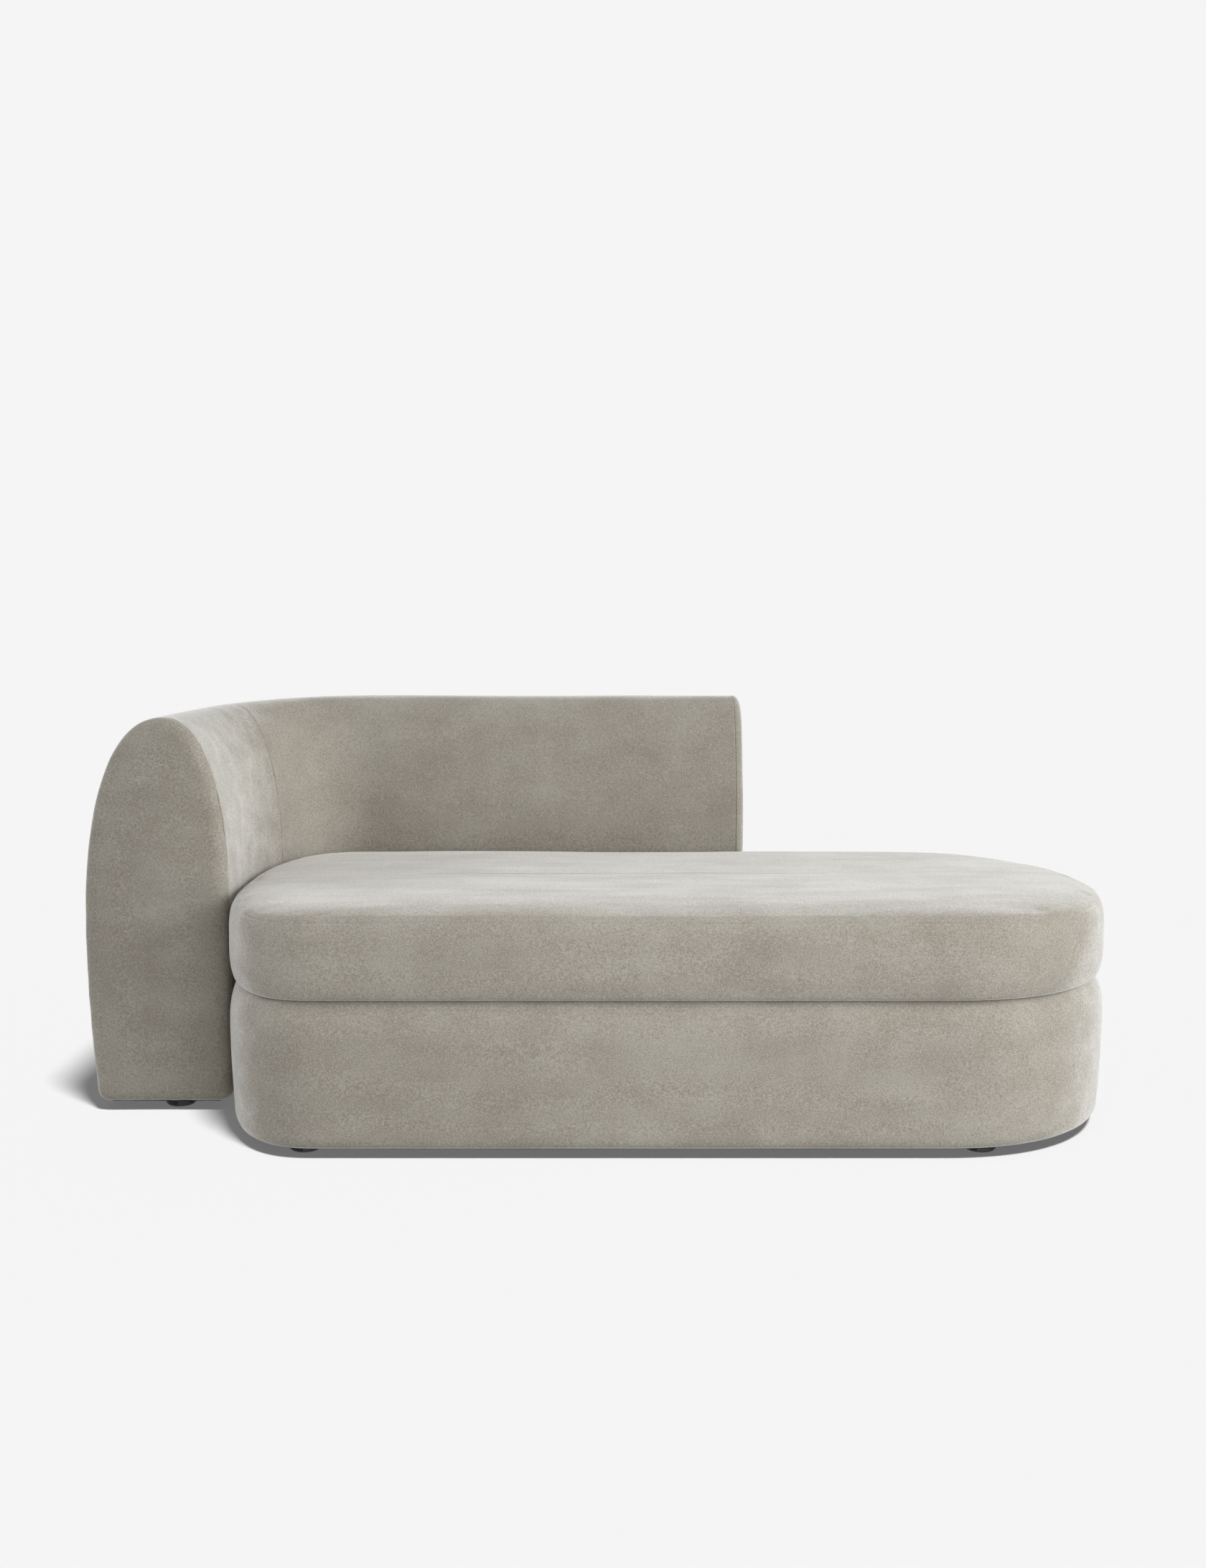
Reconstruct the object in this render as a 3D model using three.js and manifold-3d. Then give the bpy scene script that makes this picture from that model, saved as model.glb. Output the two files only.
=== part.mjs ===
// A daybed: a bench seat with rounded ends on an upholstered base, and a padded back that
// stands behind the seat, wraps round its left end and becomes an arm.
// Millimetres, +Z up. The seat's front faces -Y and the arm is at -X.
// The origin is on the floor, under the middle of the whole daybed.

import * as THREE from 'three';
import { mergeVertices } from 'three/addons/utils/BufferGeometryUtils.js';
import Module from 'manifold-3d';

const wasm = await Module();
wasm.setup();

// ---- Driving dimensions -------------------------------------------------------------

const SEAT_LENGTH = 1698;
const SEAT_DEPTH = 860;
const SEAT_HEIGHT = 438;
const LEFT_END = { length: 209, power: 2.5 };
const RIGHT_END = { length: 375, power: 2.18 };

const HEM_HEIGHT = 18;
const BASE_TOP = 284;
const CUSHION_BOTTOM = 285;

const BACK_THICKNESS = 277;
const BACK_HEIGHT = 780;
const ARM_HEIGHT = 766;
const ARM_SETBACK = 286;
const BACK_LENGTH = 1057;
const END_BULGE = 22;
const NESTING_GAP = 2;

const FABRIC = 2.5;
const SKIRT_FOAM = 25;
const PLYWOOD = 18;
const HARDBOARD = 4;
const FRAME_FLOOR = 21.5;
const FIT = 0.5;

// ---- Places that follow from them. In plan, the seat's centre is the local origin. ----

const HALF_LENGTH = SEAT_LENGTH / 2;
const HALF_DEPTH = SEAT_DEPTH / 2;
const LEFT_CENTRE = -HALF_LENGTH + LEFT_END.length;
const RIGHT_CENTRE = HALF_LENGTH - RIGHT_END.length;
const ARM_SEAM_Y = -HALF_DEPTH + ARM_SETBACK + END_BULGE;
const BACK_SEAM_X = -HALF_LENGTH + BACK_LENGTH - END_BULGE;
const PLATE_TOP = FRAME_FLOOR + PLYWOOD;
const FRAME_INSET = FABRIC + SKIRT_FOAM + 2 * FIT;

// How finely curves are stepped. The arm's cover meets the back's at the corner's station
// SEAM_STEP, with a hair's gap on either side.
const CORNER_STEPS = 10;
const SEAM_STEP = 4;
const SEAM_HALF_GAP = 0.0006;
const ROUND_STEPS = 3;
const FOOT_STEPS = 3;
const CREST_STEPS = 6;

// Cutting boxes reach this far, well past the daybed.
const BEYOND = 2000;

// ---- Solids -------------------------------------------------------------------------

function solidOf(geometry) {
  const bare = geometry.clone();
  bare.deleteAttribute('normal');
  bare.deleteAttribute('uv');
  const merged = mergeVertices(bare);
  return new wasm.Manifold(new wasm.Mesh({
    numProp: 3,
    vertProperties: merged.attributes.position.array,
    triVerts: new Uint32Array(merged.index.array),
  }));
}

function geometryOf(solid) {
  const mesh = solid.getMesh();
  const geometry = new THREE.BufferGeometry();
  geometry.setAttribute('position', new THREE.BufferAttribute(mesh.vertProperties, 3));
  geometry.setIndex(new THREE.BufferAttribute(mesh.triVerts, 1));
  return geometry;
}

function cut(geometry, ...tools) {
  const remaining = tools.reduce((whole, tool) => whole.subtract(solidOf(tool)), solidOf(geometry));
  return geometryOf(remaining);
}

function box(from, to) {
  const geometry = new THREE.BoxGeometry(to[0] - from[0], to[1] - from[1], to[2] - from[2]);
  geometry.translate((from[0] + to[0]) / 2, (from[1] + to[1]) / 2, (from[2] + to[2]) / 2);
  return geometry;
}

// An upright cylinder that drills a hole.
function drill(place, radius, from, to) {
  const geometry = new THREE.CylinderGeometry(radius, radius, to - from, 12);
  geometry.rotateX(Math.PI / 2);
  geometry.translate(place.x, place.y, (from + to) / 2);
  return geometry;
}

function extruded(outline, depth, curveSegments) {
  return new THREE.ExtrudeGeometry(outline, { depth, bevelEnabled: false, curveSegments });
}

// Swaps the winding of every face when the faces point inwards.
function facingOut(geometry) {
  const { position } = geometry.attributes;
  const index = geometry.index.array;
  const [a, b, c] = [new THREE.Vector3(), new THREE.Vector3(), new THREE.Vector3()];
  let volume = 0;
  for (let i = 0; i < index.length; i += 3) {
    a.fromBufferAttribute(position, index[i]);
    b.fromBufferAttribute(position, index[i + 1]);
    c.fromBufferAttribute(position, index[i + 2]);
    volume += a.dot(b.cross(c));
  }
  if (volume < 0) {
    for (let i = 0; i < index.length; i += 3) {
      [index[i], index[i + 1]] = [index[i + 1], index[i]];
    }
  }
  return geometry;
}

// The flat caps' triangles, turned the same way round as the ring they close.
function capTriangles(ring) {
  const turn = Math.sign(THREE.ShapeUtils.area(ring));
  return THREE.ShapeUtils.triangulateShape(ring, []).map(([a, b, c]) => {
    const sameWay = Math.sign(THREE.ShapeUtils.area([ring[a], ring[b], ring[c]])) === turn;
    return sameWay ? [a, b, c] : [a, c, b];
  });
}

// A closed surface through rings of equal count. `cap` is the flat outline that closes both
// ends; without one the last ring joins the first.
function loft(rings, cap) {
  const count = rings[0].length;
  const triangles = [];
  const spans = cap ? rings.length - 1 : rings.length;
  for (let span = 0; span < spans; span++) {
    const near = span * count;
    const far = ((span + 1) % rings.length) * count;
    for (let i = 0; i < count; i++) {
      const next = (i + 1) % count;
      triangles.push(near + i, near + next, far + next, near + i, far + next, far + i);
    }
  }
  if (cap) {
    const last = (rings.length - 1) * count;
    for (const [a, b, c] of capTriangles(cap)) {
      triangles.push(a, c, b, last + a, last + b, last + c);
    }
  }
  const points = rings.flat().flatMap((point) => [point.x, point.y, point.z]);
  const geometry = new THREE.BufferGeometry();
  geometry.setAttribute('position', new THREE.Float32BufferAttribute(points, 3));
  geometry.setIndex(triangles);
  return facingOut(geometry);
}

// ---- Plan: stations along the seat's outline, each with its outward normal ------------

// Stations round one corner of the seat, from the end's tip to the long side.
function corner(end, side, depthSign) {
  const centre = side < 0 ? LEFT_CENTRE : RIGHT_CENTRE;
  return Array.from({ length: CORNER_STEPS + 1 }, (_, step) => (
    cornerStation(end, centre, side, depthSign, step / CORNER_STEPS)
  ));
}

// One station on a superellipse corner; `share` runs from the end's tip, 0, to the long side, 1.
function cornerStation(end, centre, side, depthSign, share) {
  const along = Math.max(Math.cos((share * Math.PI) / 2), 0);
  const across = Math.sin((share * Math.PI) / 2);
  const reach = 2 / end.power;
  const slope = 2 - reach;
  const normal = new THREE.Vector2(
    (side * along ** slope) / end.length,
    (depthSign * across ** slope) / HALF_DEPTH,
  ).normalize();
  return {
    x: centre + side * end.length * along ** reach,
    y: depthSign * HALF_DEPTH * across ** reach,
    nx: normal.x,
    ny: normal.y,
  };
}

function longSide(depthSign, from, to) {
  return [from, to].map((x) => ({ x, y: depthSign * HALF_DEPTH, nx: 0, ny: depthSign }));
}

// An end of the seat, from the front to the rear.
function seatEnd(end, side) {
  const front = corner(end, side, -1).reverse();
  return [...front.slice(0, -1), ...corner(end, side, 1)];
}

const SEAT_OUTLINE = [
  ...seatEnd(RIGHT_END, 1),
  ...seatEnd(LEFT_END, -1).reverse(),
];

// The line that the back and arm follow, from the arm's front seam to the back's end seam.
// `top` is the height of the crest there.
function wrapStation(station, share) {
  return { ...station, top: THREE.MathUtils.lerp(ARM_HEIGHT, BACK_HEIGHT, share) };
}

function wrapCorner(share) {
  const station = cornerStation(LEFT_END, LEFT_CENTRE, -1, 1, share);
  return wrapStation(station, THREE.MathUtils.smoothstep(share, 0, 1));
}

const armAt = (y) => wrapStation({ x: -HALF_LENGTH, y, nx: -1, ny: 0 }, 0);
const backAt = (x) => wrapStation({ x, y: HALF_DEPTH, nx: 0, ny: 1 }, 1);

function wrapPath(fromStep, toStep, seamShift = 0) {
  const stations = [];
  if (fromStep === 0) stations.push(armAt(ARM_SEAM_Y));
  for (let step = fromStep; step <= toStep; step++) {
    const atSeam = step === SEAM_STEP ? seamShift : 0;
    stations.push(wrapCorner(step / CORNER_STEPS + atSeam));
  }
  if (toStep === CORNER_STEPS) stations.push(backAt(BACK_SEAM_X));
  return stations;
}

const WHOLE_WRAP = wrapPath(0, CORNER_STEPS);
const ARM_WRAP = wrapPath(0, SEAM_STEP, -SEAM_HALF_GAP);
const BACK_WRAP = wrapPath(SEAM_STEP, CORNER_STEPS, SEAM_HALF_GAP);

function place(station, out, z, along = 0) {
  return new THREE.Vector3(
    station.x + station.nx * out + station.ny * along,
    station.y + station.ny * out - station.nx * along,
    z,
  );
}

// ---- Sections: lists of [out, z], run with the solid on their left --------------------

// Moves a section line into its solid by `distance`.
function inset(line, distance, closed = false) {
  return line.map(([out, z], i) => {
    const before = line[i - 1] ?? (closed ? line.at(-1) : line[i]);
    const after = line[i + 1] ?? (closed ? line[0] : line[i]);
    const here = new THREE.Vector2(out, z);
    const arriving = here.clone().sub(new THREE.Vector2(...before)).normalize();
    const leaving = new THREE.Vector2(...after).sub(here).normalize();
    const direction = arriving.add(leaving);
    const halfTurn = Math.max(direction.length() / 2, 0.5);
    const single = before === line[i] || after === line[i];
    direction.normalize();
    const reach = single ? distance : distance / halfTurn;
    return [out - direction.y * reach, z + direction.x * reach];
  });
}

// A quarter of an ellipse from `start` to `finish`, inside the square corner that it rounds off.
function quarterRound(squareCorner, start, finish, steps) {
  return Array.from({ length: steps + 1 }, (_, i) => {
    const angle = (i / steps) * (Math.PI / 2);
    return [0, 1].map((k) => (
      squareCorner[k] + (start[k] - squareCorner[k]) * (1 - Math.sin(angle))
      + (finish[k] - squareCorner[k]) * (1 - Math.cos(angle))
    ));
  });
}

// A skin of even thickness along an open section line.
const skin = (line, near, far) => [...inset(line, near), ...inset(line, far).reverse()];

// One section swept along stations; a closed run of stations makes a ring.
function sweep(stations, sectionAt, closed = false) {
  const rings = stations.map((station) => (
    sectionAt(station).map(([out, z]) => place(station, out, z))
  ));
  const cap = sectionAt(stations[0]).map((point) => new THREE.Vector2(...point));
  return loft(rings, closed ? null : cap);
}

// A solid whose plan is the seat's outline, with the side profile `line`.
function seatStack(line) {
  const rings = line.map(([out, z]) => SEAT_OUTLINE.map((station) => place(station, out, z)));
  return loft(rings, SEAT_OUTLINE.map(({ x, y }) => new THREE.Vector2(x, y)));
}

// ---- The back's section: a thumb shape, steeper inside than outside -------------------

const CREST_OUT = 119;
const INNER_SHOULDER = { height: 430, power: 2.15 };
const OUTER_SHOULDER = { height: 350, power: 2.25 };
const OUTER_TAPER = 15;
const BOTTOM_ROUND = { inner: 22, outer: 24 };

// Heights of the points on the outer face below its shoulder, where it tapers a little.
const OUTER_FACE_HEIGHTS = [PLATE_TOP + FIT, 140, 245];

function outerFace(z) {
  const below = (OUTER_SHOULDER.height - z) / (OUTER_SHOULDER.height - PLATE_TOP);
  return BACK_THICKNESS - OUTER_TAPER * below ** 2;
}

function shoulder(shape, reach, top, share) {
  const angle = (share * Math.PI) / 2;
  const across = Math.max(Math.cos(angle), 0) ** (2 / shape.power);
  const up = Math.sin(angle) ** (2 / shape.power);
  return [CREST_OUT + reach * across, shape.height + (top - shape.height) * up];
}

// From the outer side's foot, over the crest, to the inner side's foot, above the floor plate.
function thumbSides(top) {
  const line = OUTER_FACE_HEIGHTS.map((z) => [outerFace(z), z]);
  for (let step = 0; step <= CREST_STEPS; step++) {
    line.push(shoulder(OUTER_SHOULDER, BACK_THICKNESS - CREST_OUT, top, step / CREST_STEPS));
  }
  for (let step = CREST_STEPS - 1; step >= 0; step--) {
    line.push(shoulder(INNER_SHOULDER, -CREST_OUT, top, step / CREST_STEPS));
  }
  line.push([0, PLATE_TOP + FIT]);
  return line.map(([out, z]) => [out + NESTING_GAP, z]);
}

// The same with its bottom edges turned under, down to the hem.
function thumbWhole(top) {
  const sides = thumbSides(top);
  const [outer, inner] = [sides[0], sides.at(-1)];
  const outerHem = [outer[0] - BOTTOM_ROUND.outer, HEM_HEIGHT];
  const innerHem = [inner[0] + BOTTOM_ROUND.inner, HEM_HEIGHT];
  const outerTurn = quarterRound([outer[0], HEM_HEIGHT], outerHem, outer, FOOT_STEPS);
  const innerTurn = quarterRound([inner[0], HEM_HEIGHT], inner, innerHem, FOOT_STEPS);
  return [...outerTurn.slice(0, -1), ...sides, ...innerTurn.slice(1)];
}

// ---- The seat's side profiles ----------------------------------------------------------

const BASE_SHAPE = { taper: 5.5, foot: 12, shoulder: 30, shoulderHeight: 75, band: 100 };
const CUSHION_SHAPE = { lower: 15, upper: 23, height: 68 };

const BASE_SHOULDER_START = BASE_TOP - BASE_SHAPE.shoulderHeight;

function baseTaper(z) {
  const below = (BASE_SHOULDER_START - z) / (BASE_SHOULDER_START - PLATE_TOP);
  return -BASE_SHAPE.taper * below ** 2;
}

function baseShoulder() {
  const start = [0, BASE_SHOULDER_START];
  const finish = [-BASE_SHAPE.shoulder, BASE_TOP];
  return quarterRound([0, BASE_TOP], start, finish, ROUND_STEPS);
}

// The base's side, from the hem, round its foot and up over its shoulder to the deck cloth.
function baseSide() {
  const footTop = [baseTaper(PLATE_TOP), PLATE_TOP];
  const hem = [footTop[0] - BASE_SHAPE.foot, HEM_HEIGHT];
  const foot = quarterRound([footTop[0], HEM_HEIGHT], hem, footTop, FOOT_STEPS);
  const middle = (PLATE_TOP + BASE_SHOULDER_START) / 2;
  return [...foot, [baseTaper(middle), middle], ...baseShoulder(), [-BASE_SHAPE.band, BASE_TOP]];
}

function cushionSide() {
  const low = CUSHION_BOTTOM + CUSHION_SHAPE.height;
  const high = SEAT_HEIGHT - CUSHION_SHAPE.height;
  const lower = quarterRound(
    [0, CUSHION_BOTTOM], [-CUSHION_SHAPE.lower, CUSHION_BOTTOM], [0, low], ROUND_STEPS,
  );
  const upper = quarterRound(
    [0, SEAT_HEIGHT], [0, high], [-CUSHION_SHAPE.upper, SEAT_HEIGHT], ROUND_STEPS,
  );
  return [...lower, ...upper];
}

// ---- Materials -------------------------------------------------------------------------

const finish = (color, roughness, metalness = 0) => (
  new THREE.MeshStandardMaterial({ color, roughness, metalness })
);
const velvet = finish(0xb5afa4, 0.95);
const lining = finish(0x2a2a2b, 0.9);
const foam = finish(0xe8e0c4, 1);
const fibre = finish(0xf2f2f0, 1);
const plywood = finish(0xc9a878, 0.7);
const hardboard = finish(0x8a6a48, 0.8);
const webbing = finish(0x3b3a38, 0.85);
const plastic = finish(0x151515, 0.5);
const steel = finish(0x9a9da0, 0.35, 0.9);
const zipNylon = finish(0xa8a298, 0.6);

function piece(group, name, geometry, material) {
  const mesh = new THREE.Mesh(geometry, material);
  mesh.name = name;
  group.add(mesh);
  return mesh;
}

// ---- Glides and joining plates ---------------------------------------------------------

const GLIDE = { radius: 29, height: 16, floorBevel: 3, topBevel: 2, stem: 4, stemTop: 37 };
const DUST_COVER = [16.6, 17.6];
const DUST_COVER_INSET = 2;

function glideGeometry() {
  const { radius, height, floorBevel, topBevel, stem, stemTop } = GLIDE;
  const profile = [
    [0, 0],
    [radius - floorBevel, 0],
    [radius, floorBevel],
    [radius, height - topBevel],
    [radius - topBevel, height],
    [stem, height],
    [stem, stemTop],
    [0, stemTop],
  ].map((point) => new THREE.Vector2(...point));
  const geometry = new THREE.LatheGeometry(profile, 16);
  geometry.rotateX(Math.PI / 2);
  return geometry;
}

function addGlides(group, prefix, places) {
  for (const [name, spot] of Object.entries(places)) {
    piece(group, `${prefix}_glide_${name}`, glideGeometry(), plastic).position.set(spot.x, spot.y, 0);
  }
}

// Holes for the glides' stems, through whatever lies between two heights.
function stemHoles(places, from, to) {
  return Object.values(places).map((spot) => drill(spot, GLIDE.stem + FIT, from - 1, to + 1));
}

const JOINING_PLATE = {
  length: 150, width: 40, thickness: 3, top: GLIDE.height - 0.4, hole: 3, xs: [-330, 60],
};

// A steel strap with round ends and four screw holes; it ties the back to the seat base.
function joiningPlateGeometry() {
  const { length, width, thickness, hole } = JOINING_PLATE;
  const straight = (length - width) / 2;
  const outline = new THREE.Shape();
  outline.absarc(0, straight, width / 2, 0, Math.PI);
  outline.absarc(0, -straight, width / 2, Math.PI, 2 * Math.PI);
  for (const y of [-straight, -straight / 2, straight / 2, straight]) {
    outline.holes.push(new THREE.Path().absarc(0, y, hole, 0, 2 * Math.PI));
  }
  return extruded(outline, thickness, 5);
}

function addJoiningPlates(group) {
  const seamY = HALF_DEPTH + NESTING_GAP / 2;
  for (const [i, x] of JOINING_PLATE.xs.entries()) {
    const plate = piece(group, `joining_plate_${i + 1}`, joiningPlateGeometry(), steel);
    plate.position.set(x, seamY, JOINING_PLATE.top - JOINING_PLATE.thickness);
  }
}

// ---- Seat base -------------------------------------------------------------------------

const RAIL_TOP = 231;
const RAIL_OUT = [-FRAME_INSET - PLYWOOD, -FRAME_INSET];
const BLOCK = { width: 56, near: 366, far: 318, height: 40 };
const WEBBING = { count: 7, width: 70, thickness: 2, reach: 398 };
const STRETCHER = { xs: [-270, 105], width: 25, height: 150 };
const BASE_GLIDES = {
  front_left: { x: -671, y: -355 },
  front_right: { x: 548, y: -355 },
  rear_left: { x: -671, y: 355 },
  rear_right: { x: 548, y: 355 },
};

// The four lengths of the seat's outline: straight front and rear, and the two curved ends.
const BASE_RUNS = {
  front: longSide(-1, LEFT_CENTRE + FIT, RIGHT_CENTRE - FIT),
  rear: longSide(1, LEFT_CENTRE + FIT, RIGHT_CENTRE - FIT),
  left: seatEnd(LEFT_END, -1),
  right: seatEnd(RIGHT_END, 1),
};

function railSection() {
  const [inner, outer] = RAIL_OUT;
  return [[outer, FRAME_FLOOR], [outer, RAIL_TOP], [inner, RAIL_TOP], [inner, FRAME_FLOOR]];
}

function skirtFoamSection() {
  const outer = inset(baseSide(), FABRIC + FIT).filter(([, z]) => z < RAIL_TOP);
  const innerOut = -FABRIC - SKIRT_FOAM - FIT;
  return [...outer, [innerOut, RAIL_TOP], [innerOut, outer[0][1]]];
}

function addBaseFrame(group) {
  for (const [run, stations] of Object.entries(BASE_RUNS)) {
    const curved = run === 'left' || run === 'right';
    piece(group, `base_${run}_${curved ? 'bow' : 'rail'}`, sweep(stations, railSection), plywood);
    piece(group, `base_${run}_foam`, sweep(stations, skirtFoamSection), foam);
  }
  const halfSpan = HALF_DEPTH - FRAME_INSET - PLYWOOD - FIT;
  for (const [i, x] of STRETCHER.xs.entries()) {
    const half = STRETCHER.width / 2;
    const from = [x - half, -halfSpan, FRAME_FLOOR];
    const to = [x + half, halfSpan, FRAME_FLOOR + STRETCHER.height];
    piece(group, `base_stretcher_${i + 1}`, box(from, to), plywood);
  }
}

function addGlideBlocks(group) {
  for (const [name, spot] of Object.entries(BASE_GLIDES)) {
    const side = Math.sign(spot.y);
    const [yLow, yHigh] = [side * BLOCK.near, side * BLOCK.far].sort((a, b) => a - b);
    const half = BLOCK.width / 2;
    const block = box(
      [spot.x - half, yLow, FRAME_FLOOR],
      [spot.x + half, yHigh, FRAME_FLOOR + BLOCK.height],
    );
    const hole = drill(spot, GLIDE.stem + FIT, FRAME_FLOOR - 1, FRAME_FLOOR + BLOCK.height + 1);
    piece(group, `base_block_${name}`, cut(block, hole), plywood);
  }
}

function addSeatPlatform(group) {
  const pitch = (RIGHT_CENTRE - LEFT_CENTRE) / WEBBING.count;
  const bottom = RAIL_TOP + FIT;
  for (let i = 0; i < WEBBING.count; i++) {
    const x = LEFT_CENTRE + pitch * (i + 0.5);
    const from = [x - WEBBING.width / 2, -WEBBING.reach, bottom];
    const to = [x + WEBBING.width / 2, WEBBING.reach, bottom + WEBBING.thickness];
    piece(group, `seat_webbing_${i + 1}`, box(from, to), webbing);
  }
  const padBottom = bottom + WEBBING.thickness + FIT;
  const under = inset(baseSide(), FABRIC + FIT).slice(0, -1);
  const shoulderLine = under.filter(([, z]) => z > padBottom);
  piece(group, 'deck_pad', seatStack([[shoulderLine[0][0], padBottom], ...shoulderLine]), foam);
}

function addBaseCovers(group) {
  const line = baseSide();
  piece(group, 'base_cover', sweep(SEAT_OUTLINE, () => skin(line, 0, FABRIC), true), velvet);

  const deckOut = -BASE_SHAPE.band - FIT;
  piece(group, 'deck_cloth', seatStack([[deckOut, BASE_TOP - FABRIC], [deckOut, BASE_TOP]]), lining);

  const dustOut = line[0][0] - DUST_COVER_INSET;
  const sheet = seatStack(DUST_COVER.map((z) => [dustOut, z]));
  piece(group, 'base_dust_cover', cut(sheet, ...stemHoles(BASE_GLIDES, ...DUST_COVER)), lining);
}

function seatBase() {
  const group = new THREE.Group();
  addBaseFrame(group);
  addGlideBlocks(group);
  addSeatPlatform(group);
  addBaseCovers(group);
  addGlides(group, 'base', BASE_GLIDES);
  return group;
}

// ---- Back and arm ----------------------------------------------------------------------

const RIB_INSET = FRAME_INSET + HARDBOARD + 2.5;
const FLOOR_PLATE_OUT = [25, 234];
const TOP_RAIL_BOTTOM = 700;
const RIB_HOLE = { out: 125, z: 330, halfWidth: 55, halfHeight: 190 };

// Ribs: one just inside each end, two round the corner, and two along the back.
const RIB_FROM_SEAM = 12;
const RIB_STATIONS = [
  armAt(ARM_SEAM_Y + RIB_FROM_SEAM),
  wrapCorner(3 / CORNER_STEPS),
  wrapCorner(7 / CORNER_STEPS),
  backAt(-560),
  backAt(-190),
  backAt(BACK_SEAM_X - RIB_FROM_SEAM),
];

const GLIDE_OUT = { arm: 113, back: 138 };
const BACK_GLIDES = {
  arm: place(armAt(-80), GLIDE_OUT.arm, 0),
  corner: place(wrapCorner(5 / CORNER_STEPS), GLIDE_OUT.back, 0),
  middle: place(backAt(-400), GLIDE_OUT.back, 0),
  end: place(backAt(125), GLIDE_OUT.back, 0),
};

function addBackPlates(group) {
  const [inner, outer] = FLOOR_PLATE_OUT;
  const board = sweep(WHOLE_WRAP, () => [
    [outer, FRAME_FLOOR],
    [outer, PLATE_TOP],
    [inner, PLATE_TOP],
    [inner, FRAME_FLOOR],
  ]);
  const holes = stemHoles(BACK_GLIDES, FRAME_FLOOR, PLATE_TOP);
  piece(group, 'back_floor_plate', cut(board, ...holes), plywood);

  const crest = sweep(WHOLE_WRAP, ({ top }) => inset(thumbSides(top), RIB_INSET));
  const belowRail = box([-BEYOND, -BEYOND, 0], [BEYOND, BEYOND, TOP_RAIL_BOTTOM]);
  piece(group, 'back_top_rail', cut(crest, belowRail), plywood);
}

// An upright board across the back's hollow, with a hole to lighten it.
function ribGeometry(top) {
  const corners = inset(thumbSides(top), RIB_INSET).map((point) => new THREE.Vector2(...point));
  const outline = new THREE.Shape(corners);
  const hole = new THREE.Path();
  const { out, z, halfWidth, halfHeight } = RIB_HOLE;
  hole.absellipse(out, z, halfWidth, halfHeight, 0, 2 * Math.PI);
  outline.holes.push(hole);
  const board = extruded(outline, PLYWOOD, 10);
  board.translate(0, 0, -PLYWOOD / 2);
  const aboveRibs = box(
    [-BEYOND, TOP_RAIL_BOTTOM - FIT, -PLYWOOD],
    [BEYOND, BEYOND, PLYWOOD],
  );
  return cut(board, aboveRibs);
}

function addRibs(group) {
  const up = new THREE.Vector3(0, 0, 1);
  for (const [i, station] of RIB_STATIONS.entries()) {
    const outwards = new THREE.Vector3(station.nx, station.ny, 0);
    const turn = new THREE.Matrix4().makeBasis(outwards, up, outwards.clone().cross(up));
    const rib = piece(group, `back_rib_${i + 1}`, ribGeometry(station.top), plywood);
    rib.position.set(station.x, station.y, 0);
    rib.quaternion.setFromRotationMatrix(turn);
  }
}

// Bent boards on the two faces of the ribs.
function addPanels(group) {
  const outerCount = OUTER_FACE_HEIGHTS.length + CREST_STEPS - 1;
  const innerCount = CREST_STEPS;
  const faces = {
    outer: (line) => line.slice(0, outerCount),
    inner: (line) => line.slice(-innerCount),
  };
  for (const [name, part] of Object.entries(faces)) {
    const section = ({ top }) => {
      const near = part(inset(thumbSides(top), FRAME_INSET));
      const far = part(inset(thumbSides(top), FRAME_INSET + HARDBOARD));
      return [...near, ...far.reverse()];
    };
    piece(group, `back_${name}_panel`, sweep(WHOLE_WRAP, section), hardboard);
  }
}

// The crowned end of the back: rings of its section that shrink as they move out.
// `forward` is -1 at the arm's front and 1 at the back's free end.
function domeRings(station, forward, depth, from, toBulge) {
  const whole = thumbWhole(station.top);
  return Array.from({ length: ROUND_STEPS + 1 }, (_, step) => {
    const angle = (step / ROUND_STEPS) * (Math.PI / 2);
    const shrink = depth + END_BULGE * (1 - Math.cos(angle));
    const along = THREE.MathUtils.lerp(from, toBulge, Math.sin(angle));
    return inset(whole, shrink, true).map(([out, z]) => place(station, out, z, forward * along));
  });
}

function addEnd(group, name, station, forward) {
  const cap = thumbWhole(station.top).map((point) => new THREE.Vector2(...point));
  const outside = domeRings(station, forward, 0, FIT, END_BULGE);
  const inside = domeRings(station, forward, FABRIC, FIT, END_BULGE - FABRIC);
  piece(group, `${name}_panel`, loft([...inside.reverse(), ...outside], cap), velvet);
  const pad = domeRings(station, forward, FABRIC + FIT, FIT, END_BULGE - FABRIC - FIT);
  piece(group, `${name}_pad`, loft(pad, cap), foam);
}

function addBackSofts(group) {
  const cover = ({ top }) => skin(thumbWhole(top), 0, FABRIC);
  const padding = ({ top }) => skin(thumbSides(top), FABRIC + FIT, FABRIC + SKIRT_FOAM);
  piece(group, 'arm_cover', sweep(ARM_WRAP, cover), velvet);
  piece(group, 'back_cover', sweep(BACK_WRAP, cover), velvet);
  piece(group, 'arm_foam', sweep(ARM_WRAP, padding), foam);
  piece(group, 'back_foam', sweep(BACK_WRAP, padding), foam);
  addEnd(group, 'arm_front', WHOLE_WRAP[0], -1);
  addEnd(group, 'back_end', WHOLE_WRAP.at(-1), 1);
}

function addBackDustCover(group) {
  const inner = NESTING_GAP + BOTTOM_ROUND.inner + DUST_COVER_INSET;
  const outer = BACK_THICKNESS - OUTER_TAPER - BOTTOM_ROUND.outer;
  const [low, high] = DUST_COVER;
  const sheet = sweep(WHOLE_WRAP, () => [[outer, low], [outer, high], [inner, high], [inner, low]]);
  piece(group, 'back_dust_cover', cut(sheet, ...stemHoles(BACK_GLIDES, ...DUST_COVER)), lining);
}

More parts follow.
